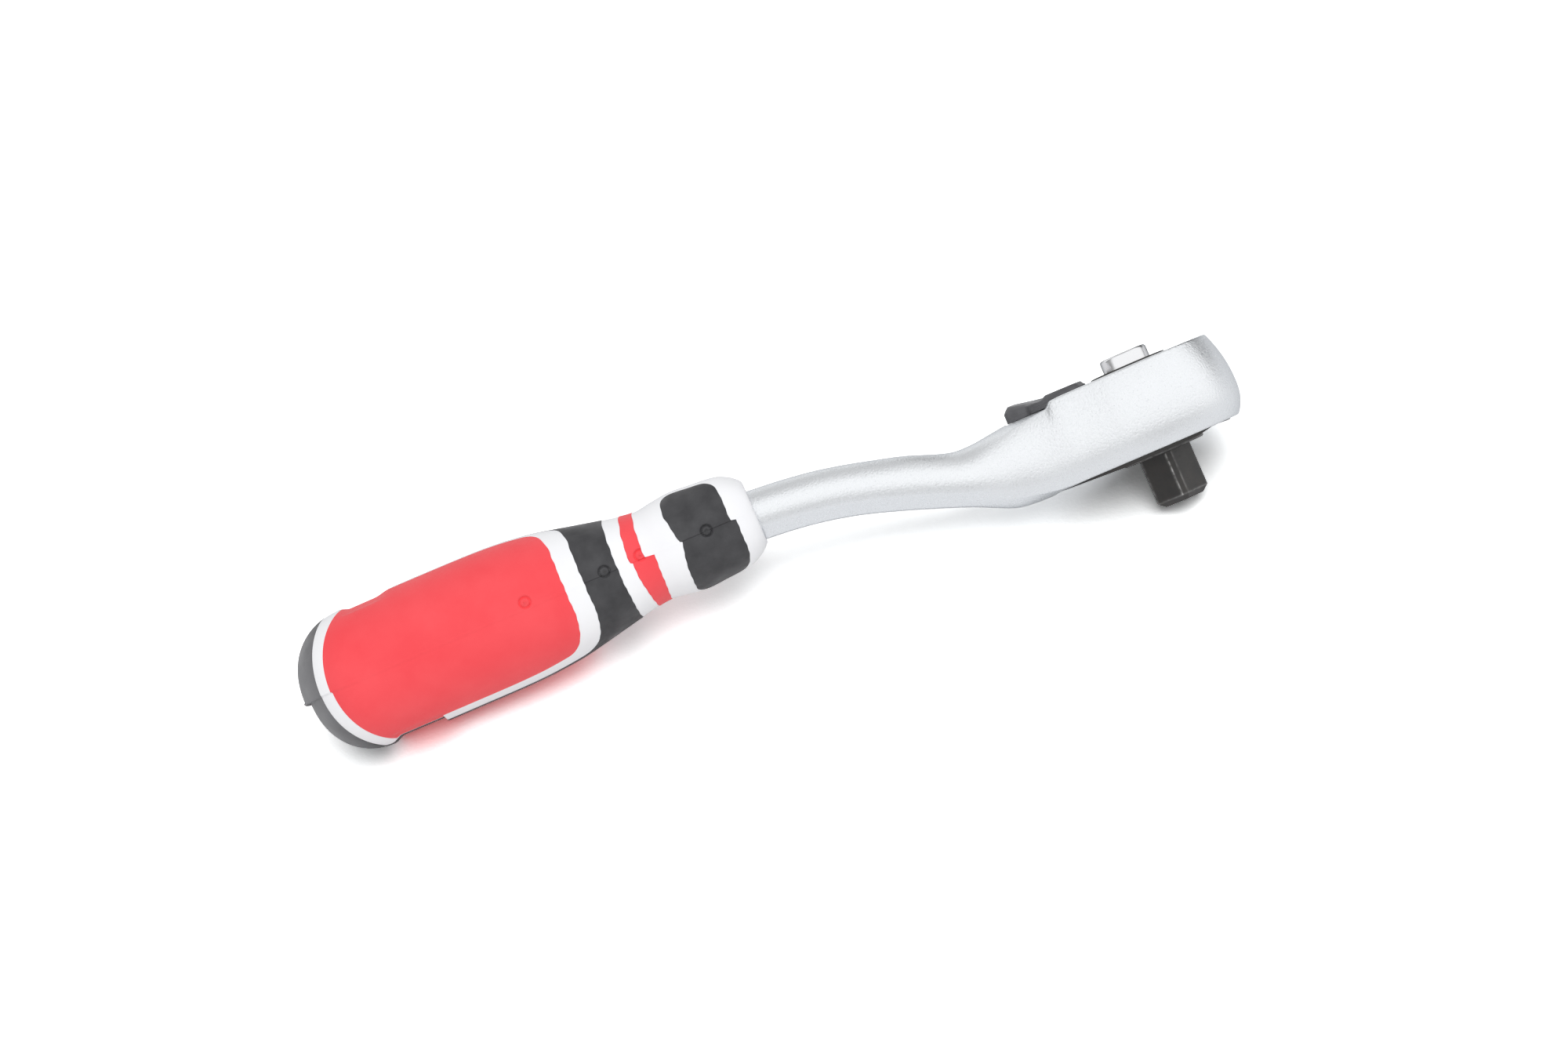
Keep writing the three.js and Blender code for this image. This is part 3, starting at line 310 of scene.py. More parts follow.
def turned(name: str, profile: Sequence[Corner], segments: int = 96) -> Piece:
    """Turns a profile about the drive axis.

    Args:
        name: The piece's name.
        profile: Radius, height and rounding of each corner, starting and ending on the axis.
        segments: Facets around the axis.

    Returns:
        The turned solid.
    """
    outline = eased_outline(profile, closed=False)
    angles = np.linspace(0, 2 * math.pi, segments, endpoint=False)
    rings = np.empty((len(outline), segments, 3))
    rings[:, :, 0] = outline[:, :1] * np.cos(angles)
    rings[:, :, 1] = outline[:, :1] * np.sin(angles)
    rings[:, :, 2] = outline[:, 1:]
    return lofted(name, rings)


def rod(name: str, radius: float, low: float, high: float, segments: int = 96) -> Piece:
    """Makes a plain round rod on the drive axis, between two heights."""
    return turned(name, [(0, low, 0), (radius, low, 0), (radius, high, 0), (0, high, 0)], segments)


def raised(name: str, outline: np.ndarray, low: float, high: float) -> Piece:
    """Raises a flat outline between two heights.

    Args:
        name: The piece's name.
        outline: The outline's points.
        low: The lower height.
        high: The upper height.

    Returns:
        The solid.
    """
    rings = np.empty((2, len(outline), 3))
    rings[:, :, :2] = outline
    rings[0, :, 2] = low
    rings[1, :, 2] = high
    return lofted(name, rings)


def cut(base: Piece, tool: Piece, how: Cut) -> Piece:
    """Joins a solid to another, or takes it away, and removes it from the scene.

    Args:
        base: The solid that changes.
        tool: The solid that it is joined with or cut by.
        how: Whether to join or take away.

    Returns:
        The changed base.
    """
    change = base.modifiers.new("cut", "BOOLEAN")
    change.operation = how.value
    change.solver = "EXACT"
    change.object = tool
    bpy.context.view_layer.update()
    settled = base.evaluated_get(bpy.context.evaluated_depsgraph_get())
    mesh = bpy.data.meshes.new_from_object(settled)
    old = base.data
    base.modifiers.clear()
    base.data = mesh
    bpy.data.meshes.remove(old)
    bpy.data.objects.remove(tool)
    return base


def moved(piece: Piece, shift: Sequence[float] = (0, 0, 0), turn: float = 0.0,
          tip: float = 0.0) -> Piece:
    """Turns a piece's mesh along the tool's axes, then shifts it.

    Args:
        piece: The piece to move.
        shift: Millimetres along each axis.
        turn: Degrees about z.
        tip: Degrees about y, made first.

    Returns:
        The moved piece.
    """
    spin = Matrix.Rotation(math.radians(turn), 4, "Z") @ Matrix.Rotation(math.radians(tip), 4, "Y")
    piece.data.transform(Matrix.Translation(Vector(shift) * MM) @ spin)
    return piece


def shaded(piece: Piece, sharp_angle: float) -> Piece:
    """Smooths a piece's shading everywhere but at its sharp edges.

    Args:
        piece: The piece.
        sharp_angle: Degrees from which an edge is sharp.

    Returns:
        The piece.
    """
    piece.data.polygons.foreach_set("use_smooth", np.ones(len(piece.data.polygons), bool))
    piece.data.set_sharp_from_angle(angle=math.radians(sharp_angle))
    return piece


# Finishes


class Layers(Enum):
    """How many finer layers a noise has."""

    SOFT = 2.0
    PLAIN = 3.0
    RICH = 4.0


class NodeLayout:
    """Lays out the nodes of a material or of the world."""

    def __init__(self, tree: bpy.types.NodeTree) -> None:
        """Keeps the tree that the nodes go in."""
        self.tree = tree

    def fill(self, target: Socket, value: object) -> None:
        """Sets an input to a value, or joins it to the socket that gives the value.

        Args:
            target: The input.
            value: A number, a vector, a colour or another node's output.
        """
        if isinstance(value, Socket):
            self.tree.links.new(value, target)
        elif target.type == "RGBA":
            target.default_value = (*value, 1)
        else:
            target.default_value = value

    def add(self, kind: str, inputs: dict[str | int, object] | None = None, **settings: object) -> bpy.types.Node:
        """Adds a node.

        Args:
            kind: The node's type.
            inputs: Values or sockets, by the name or the number of the input.
            settings: The node's properties.

        Returns:
            The node.
        """
        node = self.tree.nodes.new(kind)
        for name, value in settings.items():
            setattr(node, name, value)
        for name, value in (inputs or {}).items():
            self.fill(node.inputs[name], value)
        return node

    def number(self, operation: str, *values: object, **settings: object) -> Socket:
        """Works out a number from values or sockets."""
        return self.add("ShaderNodeMath", dict(enumerate(values)), operation=operation, **settings).outputs[0]

    def vector(self, operation: str, *values: object) -> Socket:
        """Works out a vector from values or sockets."""
        return self.add("ShaderNodeVectorMath", dict(enumerate(values)), operation=operation).outputs["Vector"]

    def levels(self, source: Socket, ends: tuple[object, object], span: Span = NOISE_SPAN,
               **settings: object) -> Socket:
        """Spreads a value between two levels.

        Args:
            source: The value.
            ends: The levels at the lower and the upper end of the span.
            span: The part of the value's range that is spread.
            settings: Further properties of the node.

        Returns:
            The level.
        """
        inputs = {"Value": source, "From Min": span[0], "From Max": span[1], "To Min": ends[0], "To Max": ends[1]}
        return self.add("ShaderNodeMapRange", inputs, **settings).outputs["Result"]

    def seen_by(self, *rays: str) -> Socket:
        """Tells rays of some kinds from the rest.

        Args:
            rays: The kinds of ray.

        Returns:
            1 on those rays, and 0 on the rest.
        """
        path = self.add("ShaderNodeLightPath")
        seen = path.outputs[rays[0]]
        for name in rays[1:]:
            seen = self.number("MAXIMUM", seen, path.outputs[name])
        return seen


class NodeBoard(NodeLayout):
    """Lays out the nodes of one material round its surface shader."""

    def __init__(self, name: str) -> None:
        """Starts a material.

        Args:
            name: The material's name.
        """
        self.material = bpy.data.materials.new(name)
        self.material.use_nodes = True
        super().__init__(self.material.node_tree)
        self.shader = self.tree.nodes["Principled BSDF"]

    def surface(self, **values: object) -> None:
        """Fills inputs of the surface shader, with underscores for the spaces in an input's name."""
        for name, value in values.items():
            self.fill(self.shader.inputs[name.replace("_", " ")], value)

    def millimetres(self) -> Socket:
        """Measures along the tool's axes.

        Returns:
            The surface's place in millimetres.
        """
        from_drive = self.vector("SUBTRACT", self.add("ShaderNodeTexCoord").outputs["Object"], TOOL.matrix.translation)
        inputs = {"Vector": from_drive, "Rotation": TOOL.matrix.to_euler()}
        turn = self.add("ShaderNodeVectorRotate", inputs, rotation_type="EULER_XYZ", invert=True)
        return self.vector("MULTIPLY", turn.outputs["Vector"], (1 / MM,) * 3)

    def noise(self, per_mm: float, layers: Layers = Layers.PLAIN, stretch: Point = (1, 1, 1)) -> Socket:
        """Adds a noise pattern.

        Args:
            per_mm: Grains in a millimetre.
            layers: How fine its detail goes.
            stretch: How much tighter the grain is along each axis.

        Returns:
            The noise's value, about 0.5 on average.
        """
        place = self.vector("MULTIPLY", self.millimetres(), stretch)
        inputs = {"Vector": place, "Scale": per_mm, "Detail": layers.value}
        return self.add("ShaderNodeTexNoise", inputs).outputs["Fac"]

    def tint(self, share: Socket, first: Colour | Socket, second: Colour) -> Socket:
        """Mixes two colours.

        Args:
            share: How much of the second colour there is.
            first: A colour, or the socket that gives it.
            second: The other colour.

        Returns:
            The mixed colour.
        """
        mix = self.add("ShaderNodeMix", {"Factor": share}, data_type="RGBA")
        ends = [socket for socket in mix.inputs if socket.type == "RGBA"]
        self.fill(ends[0], first)
        self.fill(ends[1], second)
        return next(socket for socket in mix.outputs if socket.type == "RGBA")

    def bump(self, height: Socket, depth: float) -> Socket:
        """Roughs the surface by a height.

        Args:
            height: The pattern of the height.
            depth: How deep the pattern goes, in millimetres.

        Returns:
            The roughened surface's direction.
        """
        inputs = {"Height": height, "Distance": depth * MM, "Strength": 1.0}
        normal = self.add("ShaderNodeBump", inputs).outputs["Normal"]
        self.surface(Normal=normal)
        return normal

    def worn(self) -> Socket:
        """Gives how far the black finish is rubbed off, from 0 to 1."""
        return self.add("ShaderNodeAttribute", attribute_name=WEAR).outputs["Fac"]


class Finish(Protocol):
    """What every finish can do."""

    def lay(self, board: NodeBoard) -> None:
        """Lays out the finish on a new material."""


@dataclass(frozen=True)
class SatinChrome:
    """Chrome over a blasted forging: bright, with a fine sparkling grain."""

    colour: Colour = (0.952, 0.976, 1.0)
    shade: Colour = (0.935, 0.955, 0.978)
    speck: Colour = (0.58, 0.60, 0.63)
    edge: Colour = (0.72, 0.73, 0.74)
    roughness: Span = (0.25, 0.40)
    grain_per_mm: float = 3.0
    grain_depth: float = 0.065
    specks_per_grain: float = 1.6
    speck_span: Span = (0.60, 0.78)
    speck_share: float = 0.5
    clouds_per_mm: float = 0.12

    def lay(self, board: NodeBoard) -> None:
        """Lays out the finish.

        Args:
            board: The new material.
        """
        grain = board.noise(self.grain_per_mm)
        speckle = board.noise(self.specks_per_grain * self.grain_per_mm, Layers.SOFT)
        specks = board.levels(speckle, (0.0, self.speck_share), self.speck_span)
        clouds = board.tint(board.noise(self.clouds_per_mm, Layers.SOFT), self.shade, self.colour)
        board.surface(Metallic=1.0, Specular_Tint=self.edge, Base_Color=board.tint(specks, clouds, self.speck),
                      Roughness=board.levels(grain, self.roughness))
        board.bump(grain, self.grain_depth)


@dataclass(frozen=True)
class BrightChrome:
    """Polished chrome with faint turning lines."""

    colour: Colour = (0.92, 0.925, 0.94)
    edge: Colour = (0.26, 0.265, 0.27)
    roughness: Span = (0.15, 0.24)
    lines_per_mm: float = 1.6
    line_stretch: Point = (0.3, 0.3, 9.0)
    line_depth: float = 0.0015

    def lay(self, board: NodeBoard) -> None:
        """Lays out the finish.

        Args:
            board: The new material.
        """
        lines = board.noise(self.lines_per_mm, Layers.SOFT, self.line_stretch)
        board.surface(Metallic=1.0, Base_Color=self.colour, Specular_Tint=self.edge,
                      Roughness=board.levels(lines, self.roughness))
        board.bump(lines, self.line_depth)


@dataclass(frozen=True)
class BlackSteel:
    """Blackened steel, rubbed bright along its edges, with a brown cast in places."""

    colour: Colour = (0.009, 0.0085, 0.008)
    brown: Colour = (0.022, 0.019, 0.016)
    bare: Colour = (0.50, 0.495, 0.49)
    specular: float = 0.8
    roughness: Span = (0.30, 0.46)
    patches_per_mm: float = 1.3
    patchiness: Span = (0.15, 1.35)
    brown_per_mm: float = 0.35
    metal: Span = (0.15, 1.0)
    bare_span: Span = (0.0, 0.6)
    scratches_per_mm: float = 1.1
    scratch_stretch: Point = (1.0, 1.0, 7.0)
    scratch_depth: float = 0.006

    def lay(self, board: NodeBoard) -> None:
        """Lays out the finish.

        Args:
            board: The new material.
        """
        patchy = board.levels(board.noise(self.patches_per_mm, Layers.RICH), self.patchiness)
        rubbed = board.number("MULTIPLY", board.worn(), patchy, use_clamp=True)
        cast = board.tint(board.levels(board.noise(self.brown_per_mm), WHOLE), self.colour, self.brown)
        scratches = board.noise(self.scratches_per_mm, stretch=self.scratch_stretch)
        board.surface(Specular_IOR_Level=self.specular, Base_Color=board.tint(rubbed, cast, self.bare),
                      Metallic=board.levels(rubbed, self.metal, self.bare_span),
                      Roughness=board.levels(scratches, self.roughness))
        board.bump(scratches, self.scratch_depth)


@dataclass(frozen=True)
class SpringSteel:
    """Plain bright steel of the hidden works."""

    colour: Colour = (0.46, 0.465, 0.475)
    roughness: Span = (0.22, 0.34)
    grain_per_mm: float = 2.0

    def lay(self, board: NodeBoard) -> None:
        """Lays out the finish."""
        grain = board.noise(self.grain_per_mm)
        board.surface(Metallic=1.0, Base_Color=self.colour, Roughness=board.levels(grain, self.roughness))


@dataclass(frozen=True)
class BlackLever:
    """Dark satin grey of the cast lever, rubbed lighter along its ridge."""

    colour: Colour = (0.125, 0.125, 0.133)
    shade: Colour = (0.09, 0.09, 0.096)
    bare: Colour = (0.40, 0.40, 0.41)
    metal: float = 0.35
    roughness: Span = (0.34, 0.50)
    clouds_per_mm: float = 0.5
    grain_per_mm: float = 2.4
    grain_depth: float = 0.008

    def lay(self, board: NodeBoard) -> None:
        """Lays out the finish.

        Args:
            board: The new material.
        """
        grain = board.noise(self.grain_per_mm)
        clouds = board.tint(board.levels(board.noise(self.clouds_per_mm), WHOLE), self.shade, self.colour)
        board.surface(Metallic=self.metal, Base_Color=board.tint(board.worn(), clouds, self.bare),
                      Roughness=board.levels(grain, self.roughness))
        board.bump(grain, self.grain_depth)


@dataclass(frozen=True)
class MouldedPlastic:
    """A moulded plastic or rubber with a soft mottle and a fine tooth."""

    colour: Colour
    shade: Colour
    roughness: Span
    tooth_depth: float
    tooth_per_mm: float
    specular: float = 0.5
    mottle_per_mm: float = 0.16

    def lay(self, board: NodeBoard) -> None:
        """Lays out the finish.

        Args:
            board: The new material.
        """
        mottle = board.levels(board.noise(self.mottle_per_mm), WHOLE)
        tooth = board.noise(self.tooth_per_mm)
        board.surface(Specular_IOR_Level=self.specular, Base_Color=board.tint(mottle, self.shade, self.colour),
                      Roughness=board.levels(tooth, self.roughness))
        board.bump(tooth, self.tooth_depth)


@dataclass(frozen=True)
class BlackRubber:
    """Black rubber with a fine tooth, rubbed smoother in places, and with a painted sheen that greys it towards the
    butt.
    """

    colour: Colour = (0.034, 0.034, 0.037)
    scuff: Colour = (0.056, 0.056, 0.060)
    # painted sheen: the grey painted onto the butt cap stands in for light it catches
    butt_sheen: Colour = (0.22, 0.22, 0.23)
    butt_sheen_span: Span = (-124.0, -131.5)
    roughness: Span = (0.58, 0.38)
    streaks_per_mm: float = 0.3
    streak_span: Span = (0.36, 0.70)
    tooth_per_mm: float = 3.0
    tooth_depth: float = 0.014

    def lay(self, board: NodeBoard) -> None:
        """Lays out the finish.

        Args:
            board: The new material.
        """
        streaks = board.levels(board.noise(self.streaks_per_mm, Layers.RICH), WHOLE, self.streak_span)
        along = board.add("ShaderNodeSeparateXYZ", {0: board.millimetres()}).outputs["X"]
        rubbed = board.tint(streaks, self.colour, self.scuff)
        # painted sheen: the colour is painted paler grey towards the butt end, in place of light on the cap
        sheened = board.tint(board.levels(along, WHOLE, self.butt_sheen_span), rubbed, self.butt_sheen)
        board.surface(Base_Color=sheened, Roughness=board.levels(streaks, self.roughness, WHOLE))
        board.bump(board.noise(self.tooth_per_mm), self.tooth_depth)


class FinishShop:
    """Keeps one material for each slot of the record."""

    FINISHES: dict[Slot, Finish] = {
        Slot.SATIN_CHROME: SatinChrome(),
        Slot.BRIGHT_CHROME: BrightChrome(),
        Slot.BLACK_STEEL: BlackSteel(),
        Slot.SPRING_STEEL: SpringSteel(),
        Slot.BLACK_LEVER: BlackLever(),
        Slot.WHITE_PLASTIC: MouldedPlastic(
            colour=(0.905, 0.91, 0.93), shade=(0.88, 0.885, 0.91), roughness=(0.36, 0.48),
            tooth_depth=0.004, tooth_per_mm=2.0),
        Slot.RED_RUBBER: MouldedPlastic(
            colour=(0.90, 0.088, 0.102), shade=(0.87, 0.070, 0.084), roughness=(0.45, 0.59),
            tooth_depth=0.010, tooth_per_mm=3.0, specular=0.4),
        Slot.BLACK_RUBBER: BlackRubber(),
    }

    def __init__(self) -> None:
        """Builds the materials."""
        self.materials: dict[Slot, bpy.types.Material] = {}
        for slot, finish in self.FINISHES.items():
            board = NodeBoard(slot.value)
            finish.lay(board)
            self.materials[slot] = board.material

    def dress(self, piece: Piece, slot: Slot) -> None:
        """Gives a piece its only material."""
        piece.data.materials.clear()
        piece.data.materials.append(self.materials[slot])

    def fit(self, piece: Piece, slot: Slot, body: Body, *nodes: str) -> None:
        """Finishes a new piece and sets it in the frame.

        Args:
            piece: The piece, in place.
            slot: Its material slot.
            body: The body that it rides on.
            nodes: The CAD nodes that it stands for.
        """
        self.dress(piece, slot)
        piece.data.transform(piece.matrix_world)
        piece.matrix_world = Matrix.Identity(4)
        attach(piece, body.value)
        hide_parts(*nodes)
        LOG.info("%s: %d faces, rides on %s", piece.name, len(piece.data.polygons), body.value)


def set_wear(piece: Piece, share: Callable[[np.ndarray], np.ndarray]) -> None:
    """Stores how worn each corner of a piece is.

    Args:
        piece: The piece, with its mesh along the tool's axes.
        share: Gives the wear, from 0 to 1, of points in millimetres.
    """
    points = np.empty(len(piece.data.vertices) * 3)
    piece.data.vertices.foreach_get("co", points)
    wear = piece.data.attributes.new(WEAR, "FLOAT", "POINT")
    wear.data.foreach_set("value", np.clip(share(points.reshape(-1, 3) / MM), 0, 1).astype(np.float32))


# Sub-assemblies


def pear(large: float, small: float, front_points: int = 72, back_points: int = 48) -> np.ndarray:
    """Draws a pear outline about the drive axis and the lever pivot.

    Args:
        large: Radius about the drive axis.
        small: Radius about the lever pivot.
        front_points: Points of the large arc.
        back_points: Points of the small arc.

    Returns:
        The outline's points.
    """
    slope = math.asin((large - small) / TOOL.lever_pivot)
    front = np.linspace(-math.pi / 2 - slope, math.pi / 2 + slope, front_points)
    back = np.linspace(math.pi / 2 + slope, 1.5 * math.pi - slope, back_points)
    around_drive = np.stack((large * np.cos(front), large * np.sin(front)), axis=1)
    around_pivot = np.stack((small * np.cos(back) - TOOL.lever_pivot, small * np.sin(back)), axis=1)
    return np.concatenate((around_drive, around_pivot))


@dataclass
class ForgedBody:
    """The head, neck and tang, one forging in satin chrome."""

    thickness: float = 13.0
    land_radius: float = 12.4
    bulge: float = 1.6
    fullest_level: float = -0.2
    lower_corner: float = 2.6
    taper_angle: float = 26.0
    taper_length: float = 15.0
    heel_drop: float = 0.4
    shoulder_start: float = 1.75
    shoulder_step: float = 0.85
    shoulder_length: float = 1.2
    shoulder_fade: float = 5.0
    blend_start: float = 11.5
    blend_end: float = 28.0
    tang_end: float = 106.0
    tang_taper: float = 1.0
    plate_radius: float = 11.3
    plate_small_radius: float = 6.3
    plate_depth: float = 1.4
    hub_bore: float = 6.13
    spindle_bore: float = 3.2
    lever_hub: float = 4.92
    lever_half_width: float = 3.02
    lever_reach: float = 8.32
    lever_swing: float = 25.0
    edge: float = 0.26
    facet: Span = (-0.5, -0.96)
    facet_start: Span = (23.0, 33.0)
    reach: tuple[float, ...] = (20, 23.3, 26.6, 29.8, 36.2, 40.5, 45, 49.5, 54.5, 60, 68)
    middle: tuple[float, ...] = (-0.4, -0.45, 0.05, 0.9, 3.24, 4.58, 5.87, 6.88, 7.64, 8.15, 8.75)
    half_height: tuple[float, ...] = (6.35, 5.85, 5.05, 4.45, 4.36, 4.21, 4.07, 3.99, 3.92, 3.9, 3.9)
    half_width: tuple[float, ...] = (6.0, 5.3, 4.75, 4.4, 4.2, 4.15, 4.05, 4.0, 3.95, 3.9, 3.9)
    arc_rings: int = 72
    taper_rings: int = 64
    neck_rings: int = 110
    side_steps: int = 40
    flat_steps: int = 24
    room_steps: int = 360
    swing_steps: int = 51
    overcut: float = 0.1
    sharp_angle: float = 30.0

    def __post_init__(self) -> None:
        """Draws the curves of the neck."""
        self.neck_middle = StationCurve(self.reach, self.middle)
        self.neck_height = StationCurve(self.reach, self.half_height)
        self.neck_width = StationCurve(self.reach, self.half_width)
        self.top = self.thickness / 2

    def bulge_at(self, level: np.ndarray) -> np.ndarray:
        """Bulges the head's side, most a little below its middle.

        Args:
            level: The levels on the side, from -1 to 1.

        Returns:
            How far the side stands out at each.
        """
        above = level - self.fullest_level
        upper = 1 - (above / (1 - self.fullest_level)) ** 2
        lower = 1 - np.abs(above / (1 + self.fullest_level)) ** self.lower_corner
        return self.bulge * np.where(above > 0, upper, lower)

    def section(self) -> tuple[np.ndarray, np.ndarray, np.ndarray]:
        """Lays out the points of one ring.

        Returns:
            The side from -1 to 1, the level from -1 to 1 and the angle on the neck's oval of each point.
        """
        def eased(count: int) -> np.ndarray:
            """Runs from -1 to just below 1, with more points near both ends."""
            share = np.arange(count) / count
            return -np.cos(math.pi * share)

        up, over = eased(self.side_steps), eased(self.flat_steps)
        corner = math.pi / 4
        side = np.concatenate((np.ones_like(up), -over, -np.ones_like(up), over))
        level = np.concatenate((up, np.ones_like(over), -up, -np.ones_like(over)))
        turns = [corner * up, 2 * corner + corner * over, 4 * corner + corner * up, 6 * corner + corner * over]
        return side, level, np.concatenate(turns)

    def flattened(self, angle: np.ndarray, reach: float) -> np.ndarray:
        """Gives the neck's share of its half width, with a flat facet along each lower side.

        Args:
            angle: The places round the neck's oval.
            reach: Distance from the drive axis towards the handle.

        Returns:
            The share at each place.
        """
        start, end = self.facet
        across, level = np.cos(angle), np.sin(angle)
        wide, narrow = math.sqrt(1 - start**2), math.sqrt(1 - end**2)
        flat = wide + (narrow - wide) * (level - start) / (end - start)
        on_facet = (level < start) & (level > end)
        straight = np.where(on_facet, np.sign(across) * flat, across)
        return across + (straight - across) * smoothstep(reach, *self.facet_start)

    def ring(self, reach: float, land_half_width: float, outward: tuple[float, float]) -> np.ndarray:
        """Makes one ring of the forging.

        Args:
            reach: Distance from the drive axis towards the handle.
            land_half_width: Half width of the flat land there.
            outward: Direction, along x and y, in which the side bulges.

        Returns:
            The ring's points.
        """
        side, level, angle = self.section()
        pivot = TOOL.lever_pivot
        shoulder = pivot + self.shoulder_start
        to_neck = smoothstep(reach, self.blend_start, self.blend_end)
        step = self.shoulder_step * smoothstep(reach, shoulder, shoulder + self.shoulder_length)
        bottom = -self.top - self.heel_drop * smoothstep(reach, pivot, pivot + self.plate_small_radius)
        short = np.maximum(self.edge - (1 - np.abs(level)) * self.top, 0)
        bulge = self.bulge_at(level) - self.edge + np.sqrt(self.edge**2 - short**2)
        head = np.stack((
            -reach + outward[0] * bulge,
            side * (land_half_width + outward[1] * bulge),
            bottom + (level + 1) / 2 * (self.top - bottom) - step * ((level + 1) / 2) ** self.shoulder_fade,
        ), axis=1)
        neck = np.stack((
            np.full_like(side, -reach),
            self.neck_width(reach) * self.flattened(angle, reach),
            self.neck_middle(reach) + self.neck_height(reach) * np.sin(angle),
        ), axis=1)
        return head + (neck - head) * to_neck

    def rings(self) -> np.ndarray:
        """Makes all rings from the front of the head to the end of the tang.

        Returns:
            The rings' points.
        """
        taper = math.radians(self.taper_angle)
        start = self.land_radius * math.sin(taper)
        half = self.land_radius * math.cos(taper)
        outward = (-math.sin(taper), math.cos(taper))

        def narrowed(along: float) -> float:
            """Gives the land's half width along the taper."""
            return half - math.tan(taper) * along * (1 - along / (4 * self.taper_length))

        rings = []
        for angle in np.linspace(0, math.pi / 2 + taper, self.arc_rings):
            direction = (math.cos(angle), math.sin(angle))
            rings.append(self.ring(-self.land_radius * direction[0], self.land_radius * direction[1], direction))
        for along in np.linspace(0, self.taper_length, self.taper_rings)[1:]:
            rings.append(self.ring(start + along, narrowed(along), outward))
        narrow = narrowed(self.taper_length)
        for reach in np.linspace(start + self.taper_length, self.reach[-1], self.neck_rings)[1:]:
            rings.append(self.ring(reach, narrow, outward))
        rings.append(self.ring(self.tang_end - self.tang_taper, narrow, outward))
        tip = self.ring(self.tang_end, narrow, outward)
        centre = np.array((-self.tang_end, 0, self.middle[-1]))
        rings.append(tip + (centre - tip) * self.tang_taper / self.half_height[-1])
        return np.array(rings)

    def lever_room(self) -> np.ndarray:
        """Sweeps the room that the lever swings in about its pivot.

        Returns:
            The outline's points.
        """
        around = np.linspace(-math.pi, math.pi, self.room_steps + 1)[:-1]
        swing = np.radians(np.linspace(-self.lever_swing, self.lever_swing, self.swing_steps))
        off = around[:, None] - swing[None, :]
        along, across = np.cos(off), np.maximum(np.abs(np.sin(off)), TINY)
        tab = np.minimum(self.lever_reach / np.maximum(along, TINY), self.lever_half_width / across)
        reach = np.maximum(self.lever_hub, np.where(along > 0, tab, 0).max(axis=1))
        return np.stack((-reach * np.cos(around) - TOOL.lever_pivot, reach * np.sin(around)), axis=1)

    def build(self, shop: FinishShop) -> None:
        """Makes the forging with its seats for the plate, hub and lever.

        Args:
            shop: Gives the finish.
        """
        body = lofted("forged_body", self.rings())
        above = self.top + self.thickness
        floor = self.top - self.shoulder_step
        recess = raised("plate_recess", pear(self.plate_radius, self.plate_small_radius),
                        -above, -self.top + self.plate_depth)
        well = rod("hub_well", self.hub_bore, 0, above)
        bore = rod("spindle_bore", self.spindle_bore, 0, floor + self.overcut)
        room = raised("lever_room", self.lever_room(), floor, above)
        for tool in (recess, well, moved(bore, (-TOOL.lever_pivot, 0, 0)), room):
            body = cut(body, tool, Cut.TAKE_AWAY)
        shaded(body, self.sharp_angle)
        shop.fit(body, Slot.SATIN_CHROME, Body.HANDLE, "ratchet_body")


